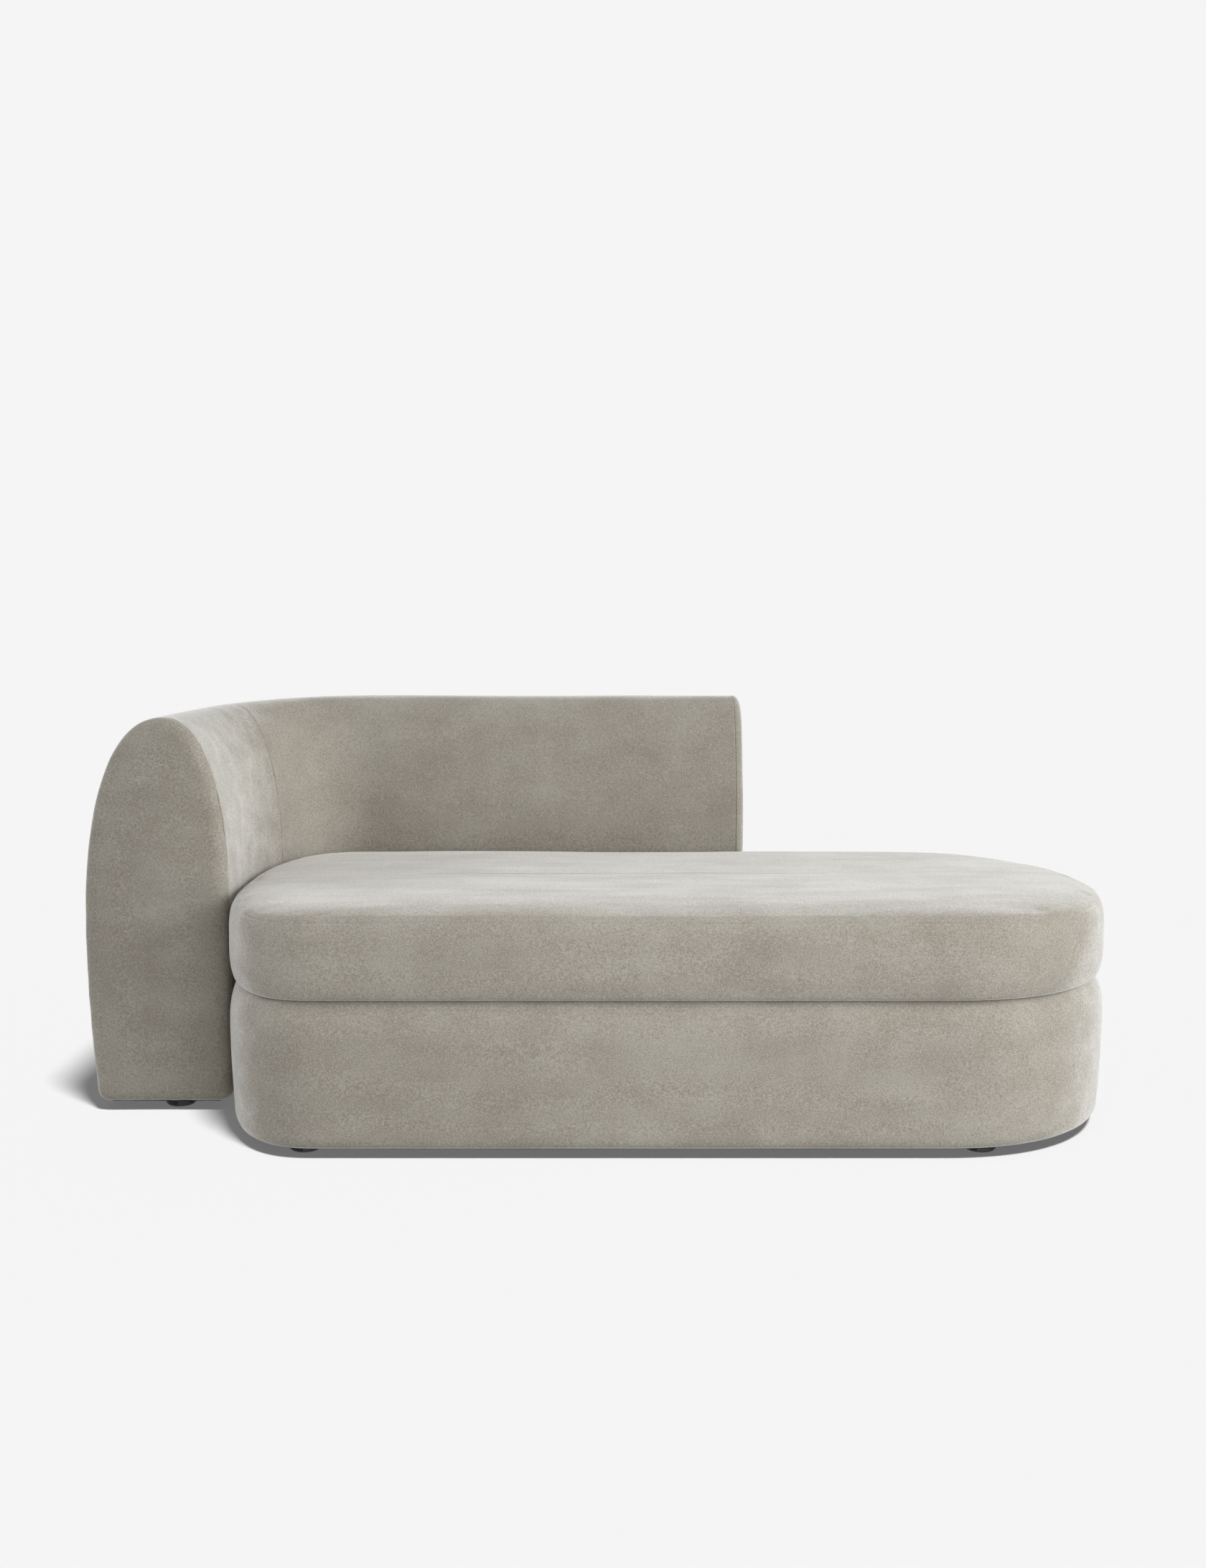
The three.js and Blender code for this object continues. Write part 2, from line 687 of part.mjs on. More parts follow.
function backAndArm() {
  const group = new THREE.Group();
  addBackPlates(group);
  addRibs(group);
  addPanels(group);
  addBackSofts(group);
  addBackDustCover(group);
  addGlides(group, 'back', BACK_GLIDES);
  return group;
}

// ---- Bench cushion ---------------------------------------------------------------------

const ZIP = {
  from: -600, to: 460, height: 300, tapeHalf: 5.7, slotHalf: 6, slotDepth: 40, depth: 8, tape: 2,
};
const SLIDER = { x: 440, length: 11, height: 9, plate: 1.6, bridge: 5, bar: 1.2 };
const PULL = { length: 26, width: 7, thickness: 1.2, eyeHalf: 2.6, eyeEnd: 6.8 };
const WRAP_SLACK = 6;
const WRAP_THICKNESS = 22;

function zipSlot(halfHeight) {
  return box(
    [ZIP.from, HALF_DEPTH - ZIP.slotDepth, ZIP.height - halfHeight],
    [ZIP.to, HALF_DEPTH + 1, ZIP.height + halfHeight],
  );
}

function addCushionSofts(group) {
  const side = cushionSide();
  const cavity = seatStack(inset(side, FABRIC));
  piece(group, 'cushion_cover', cut(seatStack(side), cavity, zipSlot(ZIP.slotHalf)), velvet);

  const core = inset(side, WRAP_SLACK + WRAP_THICKNESS + FIT);
  const wrapCavity = seatStack(inset(side, WRAP_SLACK + WRAP_THICKNESS));
  const wrap = cut(seatStack(inset(side, WRAP_SLACK)), wrapCavity, zipSlot(2 * ZIP.slotHalf));
  piece(group, 'cushion_wrap', wrap, fibre);
  piece(group, 'cushion_core', seatStack(core), foam);
}

// The slider's plate stands on the tape, with a bridge over the pull's eye bar.
function sliderGeometry() {
  const { length, height, plate, bridge, bar } = SLIDER;
  const body = box([-length / 2, 0, -height / 2], [length / 2, bridge, height / 2]);
  const eyeWay = box([-length / 2 + bar, plate, -height], [length / 2 - bar, bridge - bar, height]);
  const flanks = [1, -1].map((side) => {
    const [low, high] = [side * bar, side * height].sort((a, b) => a - b);
    return box([-length, plate, low], [length, bridge + 1, high]);
  });
  return cut(body, eyeWay, ...flanks);
}

// A flat tab with a square eye, which the slider's bridge passes through.
function pullGeometry() {
  const { length, width, thickness, eyeHalf, eyeEnd } = PULL;
  const half = width / 2;
  const tab = new THREE.Shape();
  tab.moveTo(-thickness / 2, -half);
  tab.lineTo(length - half, -half);
  tab.absarc(length - half, 0, half, -Math.PI / 2, Math.PI / 2);
  tab.lineTo(-thickness / 2, half);
  const depth = 2 * thickness;
  const board = extruded(tab, thickness, 6);
  board.translate(0, 0, -thickness / 2);
  const eye = box([thickness / 2, -eyeHalf, -depth], [eyeEnd, eyeHalf, depth]);
  const geometry = cut(board, eye);
  geometry.rotateX(Math.PI / 2);
  return geometry;
}

function addZip(group) {
  const tapeOut = HALF_DEPTH - ZIP.depth;
  const tape = box(
    [ZIP.from + FIT, tapeOut, ZIP.height - ZIP.tapeHalf],
    [ZIP.to - FIT, tapeOut + ZIP.tape, ZIP.height + ZIP.tapeHalf],
  );
  piece(group, 'zip_tape', tape, zipNylon);
  const sliderY = tapeOut + ZIP.tape + 0.3;
  piece(group, 'zip_slider', sliderGeometry(), steel).position.set(SLIDER.x, sliderY, ZIP.height);
  const eyeY = sliderY + (SLIDER.plate + SLIDER.bridge - SLIDER.bar) / 2;
  piece(group, 'zip_pull', pullGeometry(), steel).position.set(SLIDER.x, eyeY, ZIP.height);
}

function benchCushion() {
  const group = new THREE.Group();
  addCushionSofts(group);
  addZip(group);
  return group;
}

// ---- The whole daybed, moved so that its middle is over the origin ----------------------

const daybed = new THREE.Group();
daybed.add(seatBase(), backAndArm(), benchCushion());
addJoiningPlates(daybed);
const wrapReach = BACK_THICKNESS + NESTING_GAP;
daybed.position.set(wrapReach / 2, -wrapReach / 2, 0);

export default daybed;
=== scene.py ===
"""The finished look of a daybed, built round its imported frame.

Metres, +Z up. The seat's front faces -Y and the arm is at -X. The main sizes come from the
frame's boxes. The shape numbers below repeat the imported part's own profiles, and those for seams,
cloth, zip and light are for looks only.
"""

import math

import bmesh
import bpy
import numpy as np
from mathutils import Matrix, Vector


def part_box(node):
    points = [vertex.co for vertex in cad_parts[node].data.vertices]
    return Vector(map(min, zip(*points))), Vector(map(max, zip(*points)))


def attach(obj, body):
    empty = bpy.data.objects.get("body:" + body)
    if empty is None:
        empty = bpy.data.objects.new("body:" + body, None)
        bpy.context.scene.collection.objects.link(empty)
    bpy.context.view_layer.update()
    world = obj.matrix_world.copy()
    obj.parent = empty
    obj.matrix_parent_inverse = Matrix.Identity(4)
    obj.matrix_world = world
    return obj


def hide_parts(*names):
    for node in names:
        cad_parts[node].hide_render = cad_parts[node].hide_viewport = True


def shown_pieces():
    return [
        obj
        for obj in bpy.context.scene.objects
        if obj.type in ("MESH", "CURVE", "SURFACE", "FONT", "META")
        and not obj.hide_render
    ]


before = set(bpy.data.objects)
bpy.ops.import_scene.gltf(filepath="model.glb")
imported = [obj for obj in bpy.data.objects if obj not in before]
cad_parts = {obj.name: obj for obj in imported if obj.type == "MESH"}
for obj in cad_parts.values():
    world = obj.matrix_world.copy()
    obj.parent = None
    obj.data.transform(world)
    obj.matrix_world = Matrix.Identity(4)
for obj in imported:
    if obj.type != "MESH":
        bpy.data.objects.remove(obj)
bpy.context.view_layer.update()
scene = bpy.context.scene

# ---- Measures from the frame ----

MM = 0.001
FIT = 0.5 * MM
FABRIC = 2.5 * MM

cushion_low, cushion_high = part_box("cushion_cover")
rail_low, rail_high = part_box("base_front_rail")
base_low, base_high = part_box("base_cover")
arm_low, arm_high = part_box("arm_front_panel")
back_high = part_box("back_cover")[1]
shell_low, shell_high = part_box("arm_cover")
base_dust_low, base_dust_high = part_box("base_dust_cover")
back_dust_low, back_dust_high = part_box("back_dust_cover")

SEAT_Y = (cushion_low.y + cushion_high.y) / 2
HALF_DEPTH = (cushion_high.y - cushion_low.y) / 2
LEFT_CENTRE = rail_low.x - FIT
RIGHT_CENTRE = rail_high.x + FIT
LEFT_END = {"side": -1, "centre": LEFT_CENTRE, "length": LEFT_CENTRE - cushion_low.x, "power": 2.5}
RIGHT_END = {"side": 1, "centre": RIGHT_CENTRE, "length": cushion_high.x - RIGHT_CENTRE, "power": 2.18}

HEM = base_low.z
BASE_TOP = base_high.z
CUSHION_BOTTOM, CUSHION_TOP = cushion_low.z, cushion_high.z

NESTING_GAP = 2 * MM
ARM_SEAM_Y = shell_low.y
ARM_TOP = arm_high.z
ARM_BULGE = ARM_SEAM_Y - arm_low.y
BACK_SEAM_X = back_high.x
BACK_TOP = back_high.z
BACK_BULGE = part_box("back_end_panel")[1].x - BACK_SEAM_X
BACK_THICKNESS = cushion_low.x - shell_low.x - NESTING_GAP

# The share of the rear left corner, from the arm to the back, where their covers meet.
CORNER_SEAM = 0.4
HALF_SEAM = 0.3 * MM

# ---- Small geometry helpers ----


def smoothstep(share):
    share = np.clip(share, 0, 1)
    return share * share * (3 - 2 * share)


def round_off(centre, start, finish, steps):
    """A quarter of an ellipse about `centre`, from `start` to `finish`, without its last point."""
    angle = np.linspace(0, np.pi / 2, steps, endpoint=False)[:, None]
    centre, start, finish = np.array(centre), np.array(start), np.array(finish)
    return centre + (start - centre) * np.cos(angle) + (finish - centre) * np.sin(angle)


def straight(start, finish, steps):
    """A straight run from `start` to `finish`, without its last point."""
    share = np.linspace(0, 1, steps, endpoint=False)[:, None]
    return np.array(start) * (1 - share) + np.array(finish) * share


def lengths_along(points):
    steps = np.linalg.norm(np.diff(points, axis=0), axis=1)
    return np.concatenate([[0], np.cumsum(steps)])


def resample(points, at, along=None):
    """The rows of `points` at the distances `at`, measured along the first two columns."""
    along = lengths_along(points[:, :2]) if along is None else along
    return np.column_stack([np.interp(at, along, column) for column in points.T])


def even(line, spacing):
    length = lengths_along(line)[-1]
    return resample(line, np.linspace(0, length, round(length / spacing) + 1))


def ripple(points, size, seed):
    """A smooth random height from about -1 to 1, with bumps about `size` metres wide."""
    waves = 7
    draws = np.random.default_rng(seed)
    total = np.zeros(len(points))
    for _ in range(waves):
        direction = draws.normal(size=3)
        direction *= np.pi / (size * np.linalg.norm(direction))
        total += np.sin(points @ direction + draws.uniform(0, 2 * np.pi))
    return total / math.sqrt(waves)


# ---- Plan: stations are rows of x, y, outward normal x and y, and the crest's rise ----


def corner(end, depth_side, shares):
    """One superellipse corner of the seat; share 0 is the end's tip and 1 the long side."""
    along = np.clip(np.cos(shares * np.pi / 2), 0, 1)
    across = np.sin(shares * np.pi / 2)
    reach = 2 / end["power"]
    x = end["centre"] + end["side"] * end["length"] * along**reach
    y = SEAT_Y + depth_side * HALF_DEPTH * across**reach
    normal_x = end["side"] * along ** (2 - reach) / end["length"]
    normal_y = depth_side * across ** (2 - reach) / HALF_DEPTH
    size = np.hypot(normal_x, normal_y)
    return np.column_stack([x, y, normal_x / size, normal_y / size, smoothstep(shares)])


def seat_outline(spacing):
    """The seat's closed outline, anticlockwise from the left end of its front."""
    up = np.linspace(0, 1, 400)
    runs = [
        corner(RIGHT_END, -1, up[::-1]),
        corner(RIGHT_END, 1, up[1:]),
        corner(LEFT_END, 1, up[::-1]),
        corner(LEFT_END, -1, up[1:]),
    ]
    path = np.vstack([*runs, runs[0][:1]])
    length = lengths_along(path[:, :2])[-1]
    count = round(length / spacing)
    return unit_normals(resample(path, np.arange(count) * length / count))


def unit_normals(stations):
    stations[:, 2:4] /= np.linalg.norm(stations[:, 2:4], axis=1, keepdims=True)
    return stations


# Distances from a seam at which its folded edge needs points, on one side and on both.
SEAM_STEPS = np.array([0, 0.6, 1.2, 2.0, 3.0, 4.5, 7.0, 11.0]) * MM
ACROSS_SEAM = np.concatenate([-SEAM_STEPS[1:6], SEAM_STEPS[:6]])


def between_seams(path, spacing, out):
    """Stations along an open path, closest together near its two seams, with each one's distance
    from the nearer seam. `out` is where across the section the distances are measured."""
    along = lengths_along(path[:, :2] + out * path[:, 2:4])
    first = 1.6 * SEAM_STEPS[-1]
    last = along[-1] - first
    middle = np.linspace(first, last, round((last - first) / spacing))
    at = np.concatenate([SEAM_STEPS, middle, (along[-1] - SEAM_STEPS)[::-1]])
    stations = unit_normals(resample(path, at, along))
    return stations, np.minimum(at, along[-1] - at)


def arm_path():
    start = [cushion_low.x, ARM_SEAM_Y, -1, 0, 0]
    tip = [cushion_low.x, SEAT_Y, -1, 0, 0]
    shares = np.linspace(0, CORNER_SEAM, 200)
    path = np.vstack([straight(start, tip, 20), corner(LEFT_END, 1, shares)])
    return cut_short(path, 0, HALF_SEAM)


def back_path():
    finish = [BACK_SEAM_X, cushion_high.y, 0, 1, 1]
    shares = np.linspace(CORNER_SEAM, 1, 200)
    path = np.vstack([corner(LEFT_END, 1, shares), finish])
    return cut_short(path, HALF_SEAM, 0)


def cut_short(path, at_start, at_end):
    along = lengths_along(path[:, :2])
    inside = np.clip(along, at_start, along[-1] - at_end)
    return resample(path, inside, along)


# ---- Sections: lines of (out, z) ----

CREST_OUT = 119 * MM
FOOT_TOP = 40 * MM
INNER_SHOULDER = {"height": 430 * MM, "power": 2.15}
OUTER_SHOULDER = {"height": 350 * MM, "power": 2.25}
OUTER_TAPER = 15 * MM
FOOT_ROUND = {"inner": 22 * MM, "outer": 24 * MM}
TURNED_UNDER = 16 * MM

BASE_FOOT = {"inset": 17.5 * MM, "top_inset": 5.5 * MM, "top": 39.5 * MM}
BASE_SHOULDER = {"inset": 30 * MM, "height": 75 * MM}
BASE_BAND = 100 * MM
BASE_SEAM = 0.61
BACK_DUST_INNER = 26 * MM

CUSHION_LOWER_INSET = 15 * MM
CUSHION_UPPER = {"inset": 22 * MM, "height": 54 * MM, "power": 2.5}
CUSHION_ROUND_HEIGHT = 68 * MM
TOP_SEAM_INSET = 9 * MM
CROWN = {"height": 20 * MM, "reach": 52 * MM, "rear_loss": 0.4}
# Where the cushion's side ends: its crown rises from here.
CUSHION_EDGE = CUSHION_TOP - 8 * MM


def crest_height(rise):
    return ARM_TOP + (BACK_TOP - ARM_TOP) * rise


def outer_face(z):
    below = (OUTER_SHOULDER["height"] - z) / (OUTER_SHOULDER["height"] - FOOT_TOP)
    return BACK_THICKNESS - OUTER_TAPER * below**2


def shoulder(shape, reach, top, steps):
    angle = np.linspace(0, np.pi / 2, steps)
    out = CREST_OUT + reach * np.clip(np.cos(angle), 0, 1) ** (2 / shape["power"])
    z = shape["height"] + (top - shape["height"]) * np.sin(angle) ** (2 / shape["power"])
    return np.column_stack([out, z])


def thumb(rise, turned_under=0.0):
    """The back's section, from the outer hem over the crest to the inner hem."""
    top = crest_height(rise)
    low = np.linspace(FOOT_TOP, OUTER_SHOULDER["height"], 60)
    outer_foot = outer_face(FOOT_TOP)
    outer_hem = outer_foot - FOOT_ROUND["outer"]
    inner_hem = FOOT_ROUND["inner"]
    parts = [
        straight([outer_hem - turned_under, HEM], [outer_hem, HEM], 12),
        round_off([outer_hem, FOOT_TOP], [outer_hem, HEM], [outer_foot, FOOT_TOP], 24),
        np.column_stack([outer_face(low), low])[:-1],
        shoulder(OUTER_SHOULDER, BACK_THICKNESS - CREST_OUT, top, 120)[:-1],
        shoulder(INNER_SHOULDER, -CREST_OUT, top, 120)[::-1][:-1],
        straight([0, INNER_SHOULDER["height"]], [0, FOOT_TOP], 60),
        round_off([inner_hem, FOOT_TOP], [0, FOOT_TOP], [inner_hem, HEM], 24),
        straight([inner_hem, HEM], [inner_hem + turned_under, HEM], 12),
        [[inner_hem + turned_under, HEM]],
    ]
    return np.vstack(parts) + [NESTING_GAP, 0]


def base_side():
    """The base's side, from the turned-under hem to the inner edge of the band on its top."""
    hem_out, foot_out = -BASE_FOOT["inset"], -BASE_FOOT["top_inset"]
    shoulder_start = BASE_TOP - BASE_SHOULDER["height"]
    low = np.linspace(BASE_FOOT["top"], shoulder_start, 40)
    below = (shoulder_start - low) / (shoulder_start - BASE_FOOT["top"])
    parts = [
        straight([hem_out - TURNED_UNDER, HEM], [hem_out, HEM], 10),
        round_off([hem_out, BASE_FOOT["top"]], [hem_out, HEM], [foot_out, BASE_FOOT["top"]], 20),
        np.column_stack([foot_out * below**2, low])[:-1],
        round_off(
            [-BASE_SHOULDER["inset"], shoulder_start],
            [0, shoulder_start],
            [-BASE_SHOULDER["inset"], BASE_TOP],
            60,
        ),
        straight([-BASE_SHOULDER["inset"], BASE_TOP], [-BASE_BAND, BASE_TOP], 20),
        [[-BASE_BAND, BASE_TOP]],
    ]
    return np.vstack(parts)


# ---- Meshes ----


def grid_faces(rows, columns, closed_rows=False, closed_columns=False):
    row, column = np.meshgrid(
        np.arange(rows if closed_rows else rows - 1),
        np.arange(columns if closed_columns else columns - 1),
        indexing="ij",
    )
    next_row, next_column = (row + 1) % rows, (column + 1) % columns
    corners = [
        row * columns + column,
        next_row * columns + column,
        next_row * columns + next_column,
        row * columns + next_column,
    ]
    return np.stack(corners, axis=-1).reshape(-1, 4)


def facing_out(points, faces):
    """The faces, turned round if most of them face inwards."""
    corners = points[faces]
    middles = corners.mean(axis=1)
    normals = np.cross(corners[:, 2] - corners[:, 0], corners[:, 3] - corners[:, 1])
    outwards = ((middles - points.mean(axis=0)) * normals).sum()
    return faces if outwards > 0 else faces[:, ::-1]


def new_piece(name, points, faces):
    mesh = bpy.data.meshes.new(name)
    mesh.from_pydata(np.asarray(points).reshape(-1, 3).tolist(), [], [list(f) for f in faces])
    mesh.shade_smooth()
    piece = bpy.data.objects.new(name, mesh)
    scene.collection.objects.link(piece)
    return piece


def points_of(mesh):
    points = np.empty(len(mesh.vertices) * 3)
    mesh.vertices.foreach_get("co", points)
    return points.reshape(-1, 3)


def set_points(piece, points):
    piece.data.vertices.foreach_set("co", np.asarray(points).ravel())
    piece.data.update()


def push_out(piece, distance):
    """Moves each point of a piece along its normal."""
    normals = np.empty(len(piece.data.vertices) * 3)
    piece.data.vertex_normals.foreach_get("vector", normals)
    moved = points_of(piece.data) + normals.reshape(-1, 3) * np.asarray(distance)[:, None]
    set_points(piece, moved)


def tidy_mesh(piece, merge=0.02 * MM):
    """Joins points that coincide, and turns every face outwards."""
    shape = bmesh.new()
    shape.from_mesh(piece.data)
    bmesh.ops.remove_doubles(shape, verts=shape.verts, dist=merge)
    bmesh.ops.dissolve_degenerate(shape, edges=shape.edges, dist=merge)
    bmesh.ops.recalc_face_normals(shape, faces=shape.faces)
    shape.to_mesh(piece.data)
    shape.free()
    piece.data.shade_smooth()


def thicken(piece, thickness):
    modifier = piece.modifiers.new("Thickness", "SOLIDIFY")
    modifier.thickness = thickness
    modifier.offset = -1


def sweep(stations, section_at):
    """The points of a section along stations: rows x columns x 3."""
    rows = []
    for x, y, normal_x, normal_y, rise in stations:
        line = section_at(rise)
        out = line[:, 0]
        rows.append(np.column_stack([x + normal_x * out, y + normal_y * out, line[:, 1]]))
    return np.array(rows)


# ---- Seams ----

SEAM_DEPTH = 1.5 * MM
SEAM_WIDTH = 2.6 * MM
PUCKER_REACH = 14 * MM
PUCKER_PITCH = 16 * MM
PUCKER_HEIGHT = 0.3 * MM
# Around a seam, the stretch of a section that has its own points.
SEAM_ROOM = 5 * MM

# How far the cloth may stand out where the shell and the seat face each other.
SHELL_LIMIT = 0.2 * MM
SEAT_LIMIT = 0.3 * MM

# The height over which padding's unevenness fades out above the hem.
HEM_FADE = 60 * MM


def seam_relief(distance, points, seed, depth=SEAM_DEPTH):
    """How far the cloth stands out at a distance from a seam: it rolls in at the seam itself,
    and gathers a little beside it."""
    roll = -depth * np.clip(1 - np.abs(distance) / SEAM_WIDTH, 0, 1) ** 2
    fade = np.exp(-((distance / PUCKER_REACH) ** 2))
    return roll + PUCKER_HEIGHT * fade * ripple(points, PUCKER_PITCH, seed)


def settle(points, seed, amount=0.5 * MM):
    """The slow unevenness of padding under cloth."""
    return amount * (ripple(points, 260 * MM, seed) + 0.5 * ripple(points, 110 * MM, seed + 1))


def off_floor(points):
    return smoothstep((points[:, 2] - HEM) / HEM_FADE)


# ---- Back and arm ----

SECTION_SPACING = 8 * MM
STATION_SPACING = 9 * MM
# How far above the cushion and behind the seat's outline the shell's cloth is kept flat.
FLAT_ABOVE = 30 * MM
FLAT_BEHIND = 60 * MM


def shell_cover(name, path, seed):
    """The velvet round the back's section, from one seam to the next."""
    stations, from_seam = between_seams(path, STATION_SPACING, BACK_THICKNESS / 2)
    columns = len(even(thumb(1, TURNED_UNDER), SECTION_SPACING))

    def section(rise):
        line = thumb(rise, TURNED_UNDER)
        return resample(line, np.linspace(0, lengths_along(line)[-1], columns))

    grid = sweep(stations, section)
    points = grid.reshape(-1, 3)
    piece = new_piece(name, points, facing_out(points, grid_faces(len(stations), columns)))
    from_seam = np.repeat(from_seam, columns)
    relief = seam_relief(from_seam, points, seed) + settle(points, seed + 5) * off_floor(points)
    beside_seat = (points[:, 2] < CUSHION_TOP + FLAT_ABOVE) & inside_shell(points)
    push_out(piece, np.where(beside_seat, np.minimum(relief, SHELL_LIMIT), relief))
    thicken(piece, FABRIC)
    return piece


def inside_shell(points):
    """Which points are on the face of the back or arm that the seat stands against."""
    near_back = points[:, 1] < cushion_high.y + FLAT_BEHIND
    near_arm = points[:, 0] > cushion_low.x - FLAT_BEHIND
    return near_back & near_arm


# Where an end's rings shrink to: an upright line inside the section.
END_CORE = {"out": 128 * MM, "low": 150 * MM, "high": 590 * MM}
END_ROUND = 30 * MM
END_CROWN = 3 * MM


def end_panel(name, station, forward, bulge, seed):
    """The crowned panel that closes one end of the shell. `forward` is -1 at the arm's front and
    1 at the back's free end."""
    x, y, normal_x, normal_y, rise = station
    line = thumb(rise)
    closed = np.vstack([line, straight(line[-1], line[0], 24)[1:]])
    outline = even(np.vstack([closed, line[:1]]), SECTION_SPACING)[:-1]
    core = np.column_stack([
        np.full(len(outline), END_CORE["out"]),
        np.clip(outline[:, 1], END_CORE["low"], END_CORE["high"]),
    ])
    inward = core - outline
    room = np.linalg.norm(inward, axis=1, keepdims=True)
    inward /= room

    side = bulge - END_CROWN
    angles = np.concatenate([SEAM_STEPS[:-1] / side, np.linspace(0.4, np.pi / 2, 9)])
    rings = [(END_ROUND * (1 - math.cos(a)), side * math.sin(a), side * a) for a in angles]
    grid = [(outline + inward * depth, height, reach) for depth, height, reach in rings]
    for share in np.linspace(0, 1, 24)[1:-1]:
        crown = END_CROWN * (1 - (1 - share) ** 2)
        depth = END_ROUND + (room - END_ROUND) * share
        grid.append((outline + inward * depth, side + crown, 1.0))

    rows, from_seam = [], []
    for ring, height, reach in grid:
        shift = forward * height
        rows.append(np.column_stack([
            x + normal_x * ring[:, 0] + normal_y * shift,
            y + normal_y * ring[:, 0] - normal_x * shift,
            ring[:, 1],
        ]))
        from_seam.append(np.full(len(ring), reach))
    points = np.vstack(rows)
    faces = facing_out(points, grid_faces(len(rows), len(outline), closed_columns=True))
    middle = np.arange(len(outline)) + (len(rows) - 1) * len(outline)
    piece = new_piece(name, points, [*faces.tolist(), middle.tolist()])
    turn_faces(piece, np.array([normal_y, -normal_x, 0]) * forward)
    relief = seam_relief(np.concatenate(from_seam), points, seed) + settle(points, seed + 5)
    push_out(piece, relief)
    thicken(piece, FABRIC)
    return piece


def turn_faces(piece, outwards):
    """Makes all faces of an open sheet look towards `outwards`, on the whole."""
    shape = bmesh.new()
    shape.from_mesh(piece.data)
    bmesh.ops.recalc_face_normals(shape, faces=shape.faces)
    total = sum((np.array(face.normal) * face.calc_area() for face in shape.faces), np.zeros(3))
    if total @ outwards < 0:
        bmesh.ops.reverse_faces(shape, faces=shape.faces)
    shape.to_mesh(piece.data)
    shape.free()
    piece.data.shade_smooth()


# ---- Seat base ----

OUTLINE_SPACING = 12 * MM
BASE_SEAM_DEPTH = 0.6 * MM
# The base's padding is flat under the cushion: how far down that starts to change, and over what.
FLAT_UNDER = {"down": 8 * MM, "over": 20 * MM}


def base_cover():
    """The velvet round the base: hem, side, shoulder and the band that the cushion rests on."""
    stations = seat_outline(OUTLINE_SPACING)
    line = base_side()
    along = lengths_along(line)
    seam_height = BASE_TOP - BASE_SHOULDER["height"] * (1 - math.sin(BASE_SEAM * math.pi / 2))
    seam_at = np.interp(seam_height, line[:, 1], along)
    fine = seam_at + ACROSS_SEAM
    coarse = np.linspace(0, along[-1], round(along[-1] / SECTION_SPACING))
    coarse = coarse[np.abs(coarse - seam_at) > SEAM_ROOM]
    at = np.sort(np.concatenate([fine, coarse]))
    section = resample(line, at, along)
    grid = sweep(stations, lambda rise: section)
    points = grid.reshape(-1, 3)
    faces = grid_faces(len(stations), len(section), closed_rows=True)
    piece = new_piece("base_velvet", points, facing_out(points, faces))
    from_seam = np.tile(at - seam_at, len(stations))
    below_top = BASE_TOP - FLAT_UNDER["down"] - points[:, 2]
    free = smoothstep(below_top / FLAT_UNDER["over"])
    relief = seam_relief(from_seam, points, seed=21, depth=BASE_SEAM_DEPTH)
    relief += settle(points, seed=23) * free * off_floor(points)
    beside_shell = points[:, 1] > SEAT_Y
    push_out(piece, np.where(beside_shell, np.minimum(relief, SEAT_LIMIT), relief))
    thicken(piece, FABRIC)
    return piece


# ---- Linings ----

DECK = {"tuck": 0.3 * MM, "down": 0.6 * MM, "sag": 1.5 * MM, "thickness": 1 * MM}
DUST_COVER = {"down": 0.2 * MM, "sag": 0.8 * MM, "thickness": 0.8 * MM}
LINING_RIPPLE = {"size": 90 * MM, "seat": 0.15 * MM, "back": 0.2 * MM}


def filled_outline(name, inset, z, sag, seed):
    """A sheet of cloth cut to the seat's outline, `inset` inside it, that sags in the middle."""
    stations = seat_outline(2 * OUTLINE_SPACING)
    edge = stations[:, :2] - inset * stations[:, 2:4]
    core = plan_core(edge)
    rows = []
    for share in np.concatenate([[0, 0.006, 0.014], np.linspace(0.03, 1, 22)]):
        ring = edge + (core - edge) * share
        height = z - sag * smoothstep(share * 3)
        rows.append(np.column_stack([ring, np.full(len(ring), height)]))
    points = np.vstack(rows)
    points[:, 2] += LINING_RIPPLE["seat"] * ripple(points, LINING_RIPPLE["size"], seed)
    piece = new_piece(name, points, grid_faces(len(rows), len(edge), closed_columns=True))
    tidy_mesh(piece)
    turn_faces(piece, np.array([0, 0, 1]))
    return piece


def back_lining():
    """The cloth under the back and the arm, from end to end."""
    hem_gap = back_dust_low.x - shell_low.x
    path = np.vstack([arm_path(), back_path()])
    stations = unit_normals(even(path, 2 * OUTLINE_SPACING))
    out = np.linspace(BACK_DUST_INNER, BACK_THICKNESS + NESTING_GAP - hem_gap, 10)
    line = np.column_stack([out, np.full(len(out), back_dust_high.z)])
    points = sweep(stations, lambda rise: line).reshape(-1, 3)
    points[:, 2] -= LINING_RIPPLE["back"] * (1 + ripple(points, LINING_RIPPLE["size"], seed=71))
    piece = new_piece("back_lining", points, grid_faces(len(stations), len(out)))
    turn_faces(piece, np.array([0, 0, 1]))
    return piece


# How far in from each end a seat-shaped surface's middle line starts, as shares of its length.
CORE_INSET = {"left": 0.198, "right": 0.3}


def plan_core(edge):
    """Where the rings of a seat-shaped surface shrink to: a line along its middle."""
    low, high = edge[:, 0].min(), edge[:, 0].max()
    share = (edge[:, 0] - low) / (high - low)
    core_low = low + CORE_INSET["left"] * (high - low)
    core_high = high - CORE_INSET["right"] * (high - low)
    return np.column_stack([core_low + (core_high - core_low) * share, np.full(len(edge), SEAT_Y)])


# ---- Bench cushion ----

ZIP_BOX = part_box("zip_tape")
ZIP_Z = (ZIP_BOX[0].z + ZIP_BOX[1].z) / 2
